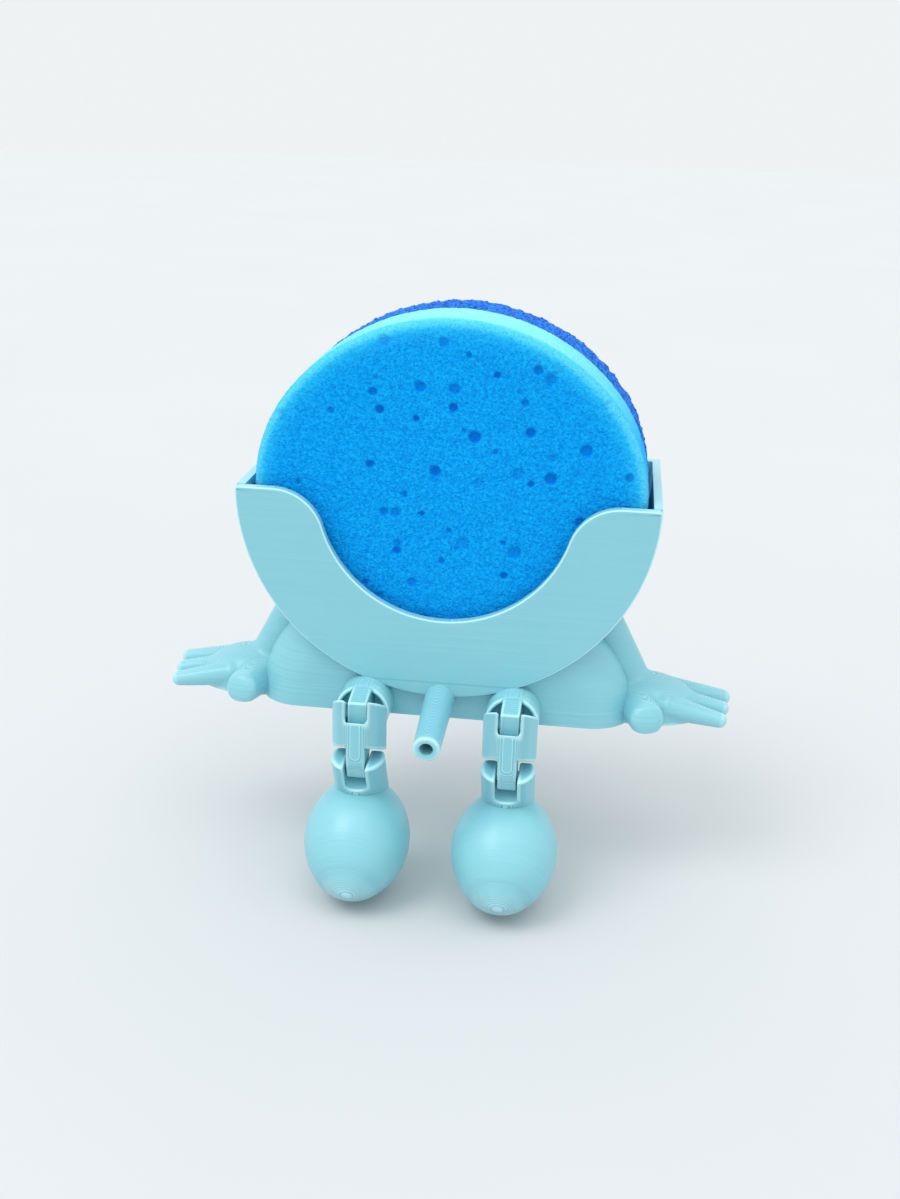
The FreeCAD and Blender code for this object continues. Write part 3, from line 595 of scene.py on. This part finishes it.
# Shins: H-shaped links that are printed lying on their backs in front of the holder, so their layers
# stack towards the front and show as nested lines there. The pins inside are printed in place.
FORWARD = (0.0, -1.0, 0.0)
SHIN_PITCH = 16.0
SHIN_SET_BACK = 2.5
LEG_BACK = 5.0
EAR_RISE = 5.7
EAR_SLOPE = np.radians(30)
SLOT_HALF = 3.2
SLOT_LIP = 1.2
SLOT_DROP = 0.7
KNUCKLE_GAP = 0.45
SHOULDER_RISE = 4.85
CUT_SLOPE = np.radians(25)
TONGUE_ROUND = 4.2
TONGUE_TAPER = 3.0
TONGUE_START = 2.0
TAPER_EDGE = 0.3
SLOT_CORNER = 1.5
SHIN_FRONT = LEG_RADIUS - SHIN_SET_BACK - LEG_Y
FIRST_LAYER = 0.07
shin_print = printed_plastic("aqua_print_shin", FORWARD, start=(SHIN_FRONT + FIRST_LAYER) * MM, terrace=1.0,
                             contour=0.9)


def shin_distance(spot):
    """Distance to a shin about its hip axis: a round bar between slanted planes, with a slot cut from
    above for the hip's tongue, and a narrower tongue below."""
    x, y, z = np.moveaxis(spot, -1, 0)
    bar = smooth_max(np.hypot(x, y - SHIN_SET_BACK) - LEG_RADIUS, y - LEG_BACK, EDGE)
    ear_front = np.sqrt(LEG_RADIUS ** 2 - SLOT_HALF ** 2) - SHIN_SET_BACK
    slant = (z - EAR_RISE) * np.cos(EAR_SLOPE) + (y + ear_front) * np.sin(EAR_SLOPE)
    top = smooth_max(z - EAR_RISE, slant, EDGE)
    under = (SHOULDER_RISE - SHIN_PITCH - z) * np.cos(CUT_SLOPE) - y * np.sin(CUT_SLOPE)
    fork = smooth_max(top, under, EDGE)
    swing = np.hypot(y, z) - KNUCKLE - KNUCKLE_GAP
    behind = np.maximum(-y, -z - KNUCKLE - SLOT_DROP)
    room = np.minimum(np.minimum(-SLOT_LIP - z, swing), behind)
    slot = smooth_max(np.abs(x) - SLOT_HALF, room, SLOT_CORNER)
    down = z + SHIN_PITCH
    end = np.where(down < 0, np.hypot(y, down) - TONGUE_ROUND, -1e3)
    front_lean = np.arctan2(LEG_RADIUS - SHIN_SET_BACK - TONGUE_ROUND, TONGUE_TAPER)
    taper = (-y - TONGUE_ROUND) * np.cos(front_lean) - down * np.sin(front_lean)
    back_lean = np.arctan2(LEG_BACK - TONGUE_ROUND, TONGUE_TAPER)
    taper_back = (y - TONGUE_ROUND) * np.cos(back_lean) - down * np.sin(back_lean)
    tongue = smooth_max(taper, np.maximum(end, taper_back), TAPER_EDGE)
    tongue = smooth_max(tongue, np.abs(x) - TONGUE_HALF, EDGE)
    tongue = np.maximum(tongue, z + KNUCKLE + TONGUE_START)
    whole = smooth_max(bar, smooth_min(fork, tongue, TONGUE_EDGE), EDGE)
    return smooth_max(whole, -slot, EDGE)


shin_low, shin_high = (-9, -7, -22), (9, 7, 7)
shin_points, shin_faces, shin_bend = surface_net(
    shin_distance(grid_of(shin_low, shin_high, LEG_CELL)), shin_low, LEG_CELL)
for side, x in (("left", -LEG_X), ("right", LEG_X)):
    new_piece(side + "_shin_link", shin_points + (x, LEG_Y, HIP_Z), shin_faces.tolist(), side + "_lower_leg",
              "aqua_print", shin_print, [side + "_shin"], bend=shin_bend)
    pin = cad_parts[side + "_hip_pin"]
    pin.data.materials.clear()
    pin.data.materials.append(shin_print)

# Feet: egg-shaped feet printed standing on the heel, so that the toe ends in rings of layers. A fork
# collar grows out of the top of each and holds the shin's lower tongue.
FOOT_TILT = np.radians(29.0)
FOOT_CENTRE_Y = -42.02
FOOT_CENTRE_Z = -33.71
FOOT_RADIUS = 15.5
FOOT_HALF = 19.2
FOOT_END = 12.8
FOOT_LAYER = 0.22
RINGED_LAYERS = 16
RING_EDGE = 0.05
RING_FADE = 1.35
TOE_FLAT = 0.3
FOOT_SIDES = 160
COLLAR_SET_BACK = 1.0
COLLAR_EAR_RISE = 2.4
COLLAR_SLOT_FLOOR = -4.9
COLLAR_ROOT = -15.0
COLLAR_EDGE = 1.0
TOE_WAY = (0.0, -float(np.cos(FOOT_TILT)), -float(np.sin(FOOT_TILT)))
TOE_TIP = float(np.dot((FOOT_CENTRE_Y, FOOT_CENTRE_Z), TOE_WAY[1:])) + FOOT_HALF
foot_print = printed_plastic("aqua_print_foot", TOE_WAY, start=TOE_TIP * MM, layer=FOOT_LAYER * MM,
                             terrace=0.9, contour=1.0)


def egg_radius(s):
    """The egg's radius at a distance s along its axis from the middle.

    A side arc of large radius is tangent to an end arc of radius FOOT_END at each end.
    """
    reach = FOOT_HALF - FOOT_END
    side = (FOOT_RADIUS ** 2 + reach ** 2 - FOOT_END ** 2) / (2 * (FOOT_RADIUS - FOOT_END))
    turn = np.arctan2(reach, side - FOOT_RADIUS)
    join = reach + FOOT_END * np.sin(turn)
    far = np.abs(s)
    flank = FOOT_RADIUS - side + np.sqrt(side ** 2 - np.minimum(far, join) ** 2)
    end = np.sqrt(np.maximum(FOOT_END ** 2 - np.maximum(far - reach, 0) ** 2, 0))
    return np.where(far < join, flank, end)


def foot_profile():
    """Radius and distance from heel to toe: a smooth egg, whose last layers stand as steps.

    Layer k has the egg's radius at its middle, and its steps fade out away from the tip.
    """
    smooth_end = FOOT_HALF - RINGED_LAYERS * FOOT_LAYER
    bow = np.linspace(np.pi, 0, 110)
    s = FOOT_HALF * np.cos(bow)
    s = s[s < smooth_end]
    body = np.stack([egg_radius(s), s], 1)
    body[0] = (0, -FOOT_HALF)
    layer = np.arange(RINGED_LAYERS)[::-1]
    foot_of = FOOT_HALF - (layer + 1) * FOOT_LAYER
    top_of = FOOT_HALF - layer * FOOT_LAYER
    fade = np.clip(RING_FADE - layer / RINGED_LAYERS * RING_FADE, 0, 1)
    wall = egg_radius((foot_of + top_of) / 2)
    low = wall + (egg_radius(foot_of + RING_EDGE) - wall) * (1 - fade)
    high = wall + (egg_radius(top_of - RING_EDGE) - wall) * (1 - fade)
    steps = np.stack([np.stack([low, foot_of + RING_EDGE], 1), np.stack([high, top_of - RING_EDGE], 1),
                      np.stack([high - RING_EDGE * fade, top_of], 1)], 1).reshape(-1, 2)
    return np.concatenate([body, steps, [(TOE_FLAT, FOOT_HALF), (0, FOOT_HALF)]])


def collar_distance(spot):
    """Distance to an ankle collar about its hinge axis, with the foot level: a round bar with a slot,
    whose ears are cut at the slant of the shin's shoulders."""
    x, y, z = np.moveaxis(spot, -1, 0)
    bar = smooth_max(np.hypot(x, y - COLLAR_SET_BACK) - LEG_RADIUS, y - LEG_BACK, EDGE)
    top = (z - COLLAR_EAR_RISE) * np.cos(CUT_SLOPE) + y * np.sin(CUT_SLOPE)
    ears = smooth_max(bar, top, COLLAR_EDGE)
    slot = smooth_max(np.abs(x) - SLOT_HALF, COLLAR_SLOT_FLOOR - z, SLOT_CORNER)
    return np.maximum(smooth_max(ears, -slot, EDGE), COLLAR_ROOT - z)


collar_low, collar_high = (-9, -8, -16), (9, 6, 7)
collar_points, collar_faces, collar_bend = surface_net(
    collar_distance(grid_of(collar_low, collar_high, LEG_CELL)), collar_low, LEG_CELL)
toe_down = np.array([[1, 0, 0], [0, np.cos(FOOT_TILT), -np.sin(FOOT_TILT)],
                     [0, np.sin(FOOT_TILT), np.cos(FOOT_TILT)]])
for side, x in (("left", -LEG_X), ("right", LEG_X)):
    foot_points, foot_faces = turned(foot_profile(), np.array([x, FOOT_CENTRE_Y, FOOT_CENTRE_Z]), TOE_WAY,
                                     FOOT_SIDES)
    new_piece(side + "_egg_foot", foot_points, foot_faces, side + "_foot_group", "aqua_print", foot_print,
              [side + "_foot"])
    new_piece(side + "_ankle_collar", collar_points @ toe_down.T + (x, LEG_Y, HIP_Z - SHIN_PITCH),
              collar_faces.tolist(), side + "_foot_group", "aqua_print", foot_print, [side + "_ankle"],
              bend=collar_bend)
    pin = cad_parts[side + "_ankle_pin"]
    pin.data.materials.clear()
    pin.data.materials.append(foot_print)

# Sponge: a round pad of two bonded layers that stands loose in the trough. The front is soft, fine
# foam cut with a knife, with scattered large pores and see-through edges, whose glow of light is
# painted into their colour, paler higher up.
SPONGE_RADIUS = 56.0
SPONGE_SIDE = 44.0
SPONGE_CROWN = 59.0
SPONGE_AXIS = 66.7
FOAM_FRONT = -23.0
FOAM_BACK = -4.0
FOAM_EDGE = 3.0
GLOW_REACH = 2.8
GLOW_SIDE = 0.12
RIM_GLOW = 0.5
RIM_GLOW_MIDDLE = 2.2
RIM_GLOW_SPREAD = 3.8
SPONGE_COLUMNS = 660
CLOSING_RINGS = (0.9, 0.5, 0.12)
LATTICE = 64
FOAM_GRAIN = ((0.1, 0.85, 21), (0.07, 0.5, 22))
FOAM_CELL = 0.75
FOAM_SPECKLE = (0.36, 0.66)
CELL_HOLE = (0.5, 0.12)


def sponge_radius(angle):
    """Distance from the sponge's axis to its outline at an angle.

    The lower half is a circle. Above, side arcs meet a flatter crown arc; the distance solves the
    circle's equation along the ray, and the lesser of the two arcs is the outline.
    """
    shift = SPONGE_RADIUS - SPONGE_SIDE
    fall = np.sqrt((SPONGE_CROWN - SPONGE_SIDE) ** 2 - shift ** 2)
    cos, sin = np.cos(angle), np.sin(angle)
    side = shift * np.abs(cos) + np.sqrt(SPONGE_SIDE ** 2 - (shift * sin) ** 2)
    crown = -fall * sin + np.sqrt(SPONGE_CROWN ** 2 - (fall * cos) ** 2)
    join = np.arctan2(fall / (SPONGE_CROWN - SPONGE_SIDE) * SPONGE_SIDE,
                      shift + shift / (SPONGE_CROWN - SPONGE_SIDE) * SPONGE_SIDE)
    upper = np.where(np.abs(np.pi / 2 - angle) > np.pi / 2 - join, side, crown)
    return np.where(sin < 0, SPONGE_RADIUS, upper)


def lump(points, cell, seed):
    """Value noise from -1 to 1: random numbers on a lattice, blended smoothly between its corners."""
    lattice = np.random.default_rng(seed).uniform(-1, 1, (LATTICE, LATTICE, LATTICE))
    spot = points / cell
    low = np.floor(spot).astype(int)
    part = spot - low
    part = part * part * (3 - 2 * part)
    total = np.zeros(points.shape[:-1])
    for corner in range(8):
        step = np.array([corner & 1, corner >> 1 & 1, corner >> 2 & 1])
        weight = np.prod(np.where(step, part, 1 - part), -1)
        index = (low + step) % LATTICE
        total += weight * lattice[index[..., 0], index[..., 1], index[..., 2]]
    return total


def rough(points, grains):
    """The sum of noises, each given by its height, its cell and its seed."""
    return sum(height * lump(points, cell, seed) for height, cell, seed in grains)


def sponge_slab(front, back, edge, rim_at_back, face_rows, side_rows):
    """A slab of the sponge's outline as rings of points, with the way that each point faces.

    From the middle of the open face the rings widen to the rim, turn over a quarter circle of the
    edge's radius, run along the side and close over the hidden face. The way back to the side along
    the surface is given too.
    """
    angle = np.linspace(0, 2 * np.pi, SPONGE_COLUMNS, endpoint=False)
    reach = sponge_radius(angle)
    share = np.linspace(0, 1, face_rows + 1)[1:] ** 0.8
    turn = np.linspace(0, np.pi / 2, 8)[1:]
    side = np.linspace(edge, back - front, side_rows + 1)[1:]
    end = len(CLOSING_RINGS)
    scale = np.concatenate([share, np.ones(len(turn) + side_rows), CLOSING_RINGS])
    inset = np.concatenate([np.full(face_rows, edge), edge * (1 - np.sin(turn)), np.zeros(side_rows + end)])
    depth = np.concatenate([np.zeros(face_rows), edge * (1 - np.cos(turn)), side, np.full(end, back - front)])
    lean = np.concatenate([np.zeros(face_rows), turn, np.full(side_rows, np.pi / 2), np.full(end, np.pi)])
    radius = (reach[None] - inset[:, None]) * scale[:, None]
    y = back - depth if rim_at_back else front + depth
    points = np.stack([radius * np.cos(angle), np.broadcast_to(y[:, None], radius.shape),
                       SPONGE_AXIS + radius * np.sin(angle)], -1)
    out = 1.0 if rim_at_back else -1.0
    sideways = np.sin(lean)[:, None]
    ways = np.stack([sideways * np.cos(angle), np.broadcast_to(out * np.cos(lean)[:, None], radius.shape),
                     sideways * np.sin(angle)], -1)
    to_side = np.concatenate([np.full(face_rows, np.pi / 2), np.pi / 2 - turn, np.zeros(side_rows + end)])
    on_face = np.arange(len(scale))[:, None] < face_rows
    from_side = to_side[:, None] * edge + np.where(on_face, reach[None] - edge - radius, 0.0)
    return points, ways, from_side


def with_centres(rings, first, last):
    """The rings' points followed by the middle points of the two ends."""
    return np.concatenate([rings.reshape(-1, 3), [first, last]])


PORES = 64
PORE_ROOM = 53.0
PORE_SMALL = 0.7
PORE_LARGE = 1.9
PORE_DEPTH = 0.8
PORE_OUTSIDE = 1.15
PORE_SLOPE = 0.35
draw = np.random.default_rng(11)
pore_reach = PORE_ROOM * np.sqrt(draw.uniform(0, 1, PORES))
pore_angle = draw.uniform(0, 2 * np.pi, PORES)
pore_size = PORE_SMALL + (PORE_LARGE - PORE_SMALL) * draw.uniform(0, 1, PORES) ** 1.6
pore_fill = draw.uniform(0.35, 1.0, PORES)

foam_rings, foam_ways, foam_from_side = sponge_slab(
    FOAM_FRONT, FOAM_BACK, FOAM_EDGE, rim_at_back=False, face_rows=96, side_rows=26)
spots = np.stack([foam_rings[..., 0], foam_rings[..., 2] - SPONGE_AXIS], -1)
mid = np.stack([pore_reach * np.cos(pore_angle), pore_reach * np.sin(pore_angle)], -1)
pore = np.zeros(spots.shape[:2])
for place, size, fill in zip(mid, pore_size, pore_fill):
    near = PORE_OUTSIDE - np.linalg.norm(spots - place, axis=-1) / size
    pore = np.maximum(pore, fill * np.clip(near / PORE_SLOPE, 0, 1))
pore *= foam_ways[..., 1] < -0.5
grain = rough(foam_rings, FOAM_GRAIN)
grain *= np.abs(foam_ways[..., 1] - 1) > 0.5
foam_rings = foam_rings + foam_ways * (grain - PORE_DEPTH * pore * pore_size.mean())[..., None]
foam_points = with_centres(foam_rings, (0, FOAM_FRONT, SPONGE_AXIS), (0, FOAM_BACK, SPONGE_AXIS))
foam_faces = closed_faces(foam_rings.shape[0], SPONGE_COLUMNS)
# Painted light: the glow of light through the side and near the front rim is painted into the colour,
# stronger higher up, where the light falls from above.
rise = np.clip((foam_rings[..., 2] - SPONGE_AXIS) / SPONGE_RADIUS, 0, 1)
side_glow = (GLOW_SIDE + (1 - GLOW_SIDE) * rise) * np.exp(-foam_from_side / GLOW_REACH)
rim_glow = RIM_GLOW * np.exp(-((foam_from_side - RIM_GLOW_MIDDLE) / RIM_GLOW_SPREAD) ** 2)
edge_glow = np.append(np.maximum(side_glow, rim_glow).ravel(), [0, 0])
pore_mask = np.append(pore.ravel(), [0, 0])

FOAM_BLUE = (0.002, 0.27, 0.77, 1.0)
FOAM_LIGHT = (0.006, 0.42, 0.92, 1.0)
FOAM_DEEP = (0.002, 0.175, 0.68, 1.0)
# The next two colours are painted light, the glow through the edges.
FOAM_GLOW = (0.03, 0.56, 0.93, 1.0)
FOAM_GLOW_PALE = (0.36, 0.90, 1.0, 1.0)


def make_cells():
    """Open cells: Grain is fine noise, and Holes marks the middles of the larger cells, which are painted
    dark as their shade.
    """
    group, given, out = new_group("foam_cells", [("Place", "Vector"), ("Cell", "Float")],
                                  [("Grain", "Float"), ("Holes", "Float")])
    scale = math_node(group, "DIVIDE", 1.0, given.outputs["Cell"])
    fine = add_node(group, "ShaderNodeTexNoise", {"Vector": given.outputs["Place"], "Scale": scale,
                                                  "Detail": 2.0, "Roughness": 0.6})
    cells = add_node(group, "ShaderNodeTexVoronoi", {"Vector": given.outputs["Place"], "Scale": scale})
    holes = range_node(group, cells.outputs["Distance"], *CELL_HOLE)
    group.links.new(fine.outputs["Fac"], out.inputs["Grain"])
    group.links.new(holes, out.inputs["Holes"])
    return group


foam_cells = make_cells()


def foam_material():
    """Fine blue foam: granular tone, darker pores, painted shade in the middles of the cells, and painted
    light, pale, where the light comes through the edge.
    """
    material, tree, shader, spot = new_material("foam_soft")
    cells = add_node(tree, "ShaderNodeGroup", node_tree=foam_cells)
    tree.links.new(spot.outputs["Object"], cells.inputs["Place"])
    cells.inputs["Cell"].default_value = FOAM_CELL * MM
    glow = add_node(tree, "ShaderNodeAttribute", attribute_name="edge_glow").outputs["Fac"]
    pores = add_node(tree, "ShaderNodeAttribute", attribute_name="pore").outputs["Fac"]
    speckle = range_node(tree, cells.outputs["Grain"], *FOAM_SPECKLE)
    speckled = mix_node(tree, speckle, FOAM_BLUE, FOAM_LIGHT)
    # The middles of the cells are darkened as painted shade.
    dark = math_node(tree, "MAXIMUM", pores, math_node(tree, "MULTIPLY", cells.outputs["Holes"], 0.3))
    holed = mix_node(tree, dark, speckled, FOAM_DEEP)
    # Painted light: the glow through the edges lightens the colour towards pale blue.
    uneven = math_node(tree, "MULTIPLY_ADD", cells.outputs["Grain"], 0.5, 0.6)
    pale = math_node(tree, "MULTIPLY", glow, uneven)
    glowing = mix_node(tree, range_node(tree, pale, 0.0, 0.5), holed, FOAM_GLOW)
    colour = mix_node(tree, range_node(tree, pale, 0.3, 0.95), glowing, FOAM_GLOW_PALE)
    tree.links.new(colour, shader.inputs["Base Color"])
    shader.inputs["Roughness"].default_value = 0.92
    shader.inputs["Specular IOR Level"].default_value = 0.03
    bump = add_node(tree, "ShaderNodeBump", {"Strength": 0.6, "Distance": 0.3 * MM,
                                             "Height": math_node(tree, "SUBTRACT", cells.outputs["Grain"],
                                                                 cells.outputs["Holes"])})
    tree.links.new(bump.outputs["Normal"], shader.inputs["Normal"])
    return material


foam_layer = new_piece("foam_layer", foam_points, foam_faces, "sponge", "foam", foam_material(),
                       ["sponge_foam"], edge_glow=edge_glow, pore=pore_mask)

# Scrubber: the rear layer is a coarse, stiff, open foam of a deeper blue, glued to the soft one. Its
# cut edges are ragged, and holes show all over it, painted dark as their shade, as are its dents.
SCRUBBER_FRONT = -4.0
SCRUBBER_BACK = 15.0
SCRUBBER_EDGE = 1.8
SCRUBBER_GRAIN = ((0.42, 1.1, 31), (0.24, 0.55, 32))
SCRUBBER_SINK = 0.3
SCRUBBER_CELL = 1.1
SCRUBBER_SPECKLE = (0.38, 0.64)
SCRUBBER_BLUE = (0.008, 0.135, 0.72, 1.0)
SCRUBBER_LIGHT = (0.02, 0.26, 0.93, 1.0)
SCRUBBER_HOLE_SHADE = (0.002, 0.03, 0.25, 1.0)

scrub_rings, scrub_ways, _ = sponge_slab(
    SCRUBBER_FRONT, SCRUBBER_BACK, SCRUBBER_EDGE, rim_at_back=True, face_rows=84, side_rows=34)
ragged = rough(scrub_rings, SCRUBBER_GRAIN)
ragged *= scrub_ways[..., 1] > -0.5
scrub_rings = scrub_rings + scrub_ways * (ragged - SCRUBBER_SINK)[..., None]
scrub_points = with_centres(scrub_rings, (0, SCRUBBER_BACK, SPONGE_AXIS), (0, SCRUBBER_FRONT, SPONGE_AXIS))
scrub_faces = closed_faces(scrub_rings.shape[0], SPONGE_COLUMNS, turned_over=True)
# Painted shade: where the ragged surface dents in, its colour is darkened.
hollow = np.append(np.clip(-ragged.ravel() * 2.0, 0, 1), [0, 0])


def scrubber_material():
    """Coarse foam: strands of two blues, with painted shade in its holes and dents."""
    material, tree, shader, spot = new_material("foam_coarse")
    cells = add_node(tree, "ShaderNodeGroup", node_tree=foam_cells)
    tree.links.new(spot.outputs["Object"], cells.inputs["Place"])
    cells.inputs["Cell"].default_value = SCRUBBER_CELL * MM
    dent_shade = add_node(tree, "ShaderNodeAttribute", attribute_name="hollow").outputs["Fac"]
    speckle = range_node(tree, cells.outputs["Grain"], *SCRUBBER_SPECKLE)
    strands = mix_node(tree, speckle, SCRUBBER_BLUE, SCRUBBER_LIGHT)
    # Painted shade in the holes and dents.
    dark = math_node(tree, "MAXIMUM", math_node(tree, "MULTIPLY", cells.outputs["Holes"], 0.75),
                     math_node(tree, "MULTIPLY", dent_shade, 0.7))
    tree.links.new(mix_node(tree, dark, strands, SCRUBBER_HOLE_SHADE), shader.inputs["Base Color"])
    shader.inputs["Roughness"].default_value = 0.8
    shader.inputs["Specular IOR Level"].default_value = 0.25
    bump = add_node(tree, "ShaderNodeBump", {"Strength": 0.9, "Distance": 0.5 * MM,
                                             "Height": math_node(tree, "SUBTRACT", cells.outputs["Grain"],
                                                                 cells.outputs["Holes"])})
    tree.links.new(bump.outputs["Normal"], shader.inputs["Normal"])
    return material


scrubber_layer = new_piece("scrubber_layer", scrub_points, scrub_faces, "sponge", "scrubber",
                           scrubber_material(), ["sponge_scrubber"], hollow=hollow)

# Studio: a pale paper floor just under the toes, a large soft light from the upper left in front, a
# weaker one from high up in front, and a pale sky all round.
FLOOR_Z = -51.5
FLOOR_RINGS = (20.0, 120.0, 400.0, 1200.0, 4000.0)
FLOOR_SIDES = 96
PAPER_TONE = (0.597, 0.614, 0.624, 1.0)
PAPER_LIGHT = (0.621, 0.635, 0.644, 1.0)


def floor_disc():
    """Rings of points on a level disc, wider towards the outside."""
    turn = np.linspace(0, 2 * np.pi, FLOOR_SIDES, endpoint=False)
    spread = np.array(FLOOR_RINGS)[:, None, None] * np.stack([np.cos(turn), np.sin(turn)], -1)[None]
    points = np.concatenate([spread.reshape(-1, 2), [(0, 0)]])
    points = np.column_stack([points, np.full(len(points), FLOOR_Z)])
    first = np.arange(FLOOR_SIDES)
    middle = np.stack([np.full(FLOOR_SIDES, len(points) - 1), first, np.roll(first, -1)], 1)
    return points * MM, ring_faces(len(FLOOR_RINGS), FLOOR_SIDES)[:, ::-1].tolist() + middle.tolist()


floor_mesh = bpy.data.meshes.new("floor")
floor_points, floor_faces = floor_disc()
floor_mesh.from_pydata(floor_points, [], floor_faces)
floor = bpy.data.objects.new("floor", floor_mesh)
bpy.context.scene.collection.objects.link(floor)
paper, paper_tree, paper_shader, on_floor = new_material("pale_paper")
mottle = add_node(paper_tree, "ShaderNodeTexNoise", {"Vector": on_floor.outputs["Object"], "Scale": 6.0,
                                                     "Detail": 3.0})
tone = mix_node(paper_tree, mottle.outputs["Fac"], PAPER_TONE, PAPER_LIGHT)
paper_tree.links.new(tone, paper_shader.inputs["Base Color"])
paper_shader.inputs["Roughness"].default_value = 0.9
paper_shader.inputs["Specular IOR Level"].default_value = 0.0
floor_mesh.materials.append(paper)

HORIZON = 0.9
ZENITH = 1.15
HORIZON_END = 0.05
ZENITH_START = 0.6
SKY_COLOUR = (0.965, 0.99, 1.0, 1.0)
sky = bpy.data.worlds.new("pale_sky")
sky.use_nodes = True
look = sky.node_tree.nodes.new("ShaderNodeTexCoord").outputs["Generated"]
upwards = add_node(sky.node_tree, "ShaderNodeSeparateXYZ", {"Vector": look}).outputs["Z"]
brightness = range_node(sky.node_tree, upwards, HORIZON_END, ZENITH_START, HORIZON, ZENITH)
backdrop = sky.node_tree.nodes["Background"]
backdrop.inputs["Color"].default_value = SKY_COLOUR
sky.node_tree.links.new(brightness, backdrop.inputs["Strength"])
bpy.context.scene.world = sky


def turned_to(place, target):
    """The matrix of a lamp at a place in millimetres whose beam points at the target."""
    back = np.array(place, float) - np.array(target, float)
    back /= np.linalg.norm(back)
    across = np.cross(UPRIGHT, back)
    across /= np.linalg.norm(across)
    matrix = np.eye(4)
    matrix[:3, :3] = np.stack([across, np.cross(back, across), back], 1)
    matrix[:3, 3] = np.array(place) * MM
    return Matrix(matrix)


LAMPS = (("key_light", 0.85, 30, (-420, -330, 850)), ("fill_light", 0.35, 40, (160, -260, 900)))
LAMP_TARGET = (0, 0, 40)
for name, strength, spread, place in LAMPS:
    light = bpy.data.lights.new(name, "SUN")
    light.energy = strength
    light.angle = np.radians(spread)
    lamp = bpy.data.objects.new(name, light)
    bpy.context.scene.collection.objects.link(lamp)
    lamp.matrix_world = turned_to(place, LAMP_TARGET)

# Camera: the photograph's angle, a little from the right and above, with its slight roll. The lens is
# given by the focal length and the image height that were fitted to the photograph, both in its pixels.
CAMERA_PLACE = (44.6, -398.5, 177.2)
CAMERA_AZIMUTH = np.radians(6.55)
CAMERA_ELEVATION = np.radians(20.46)
CAMERA_ROLL = np.radians(1.73)
FOCAL_PIXELS = 1396.0
IMAGE_HEIGHT = 1199.0
ahead = np.array([-np.sin(CAMERA_AZIMUTH) * np.cos(CAMERA_ELEVATION),
                  np.cos(CAMERA_AZIMUTH) * np.cos(CAMERA_ELEVATION), -np.sin(CAMERA_ELEVATION)])
level_right = np.array([np.cos(CAMERA_AZIMUTH), np.sin(CAMERA_AZIMUTH), 0.0])
level_up = np.cross(level_right, ahead)
right = np.cos(CAMERA_ROLL) * level_right + np.sin(CAMERA_ROLL) * level_up
upward = -np.sin(CAMERA_ROLL) * level_right + np.cos(CAMERA_ROLL) * level_up
camera_data = bpy.data.cameras.new("camera")
camera_data.sensor_width = 36.0
camera_data.lens = FOCAL_PIXELS / IMAGE_HEIGHT * camera_data.sensor_width
camera_data.clip_start = 0.01
camera = bpy.data.objects.new("camera", camera_data)
bpy.context.scene.collection.objects.link(camera)
pose = np.eye(4)
pose[:3, :3] = np.stack([right, upward, -ahead], 1)
pose[:3, 3] = np.array(CAMERA_PLACE) * MM
camera.matrix_world = Matrix(pose)
bpy.context.scene.camera = camera
bpy.context.scene.view_settings.view_transform = "Standard"
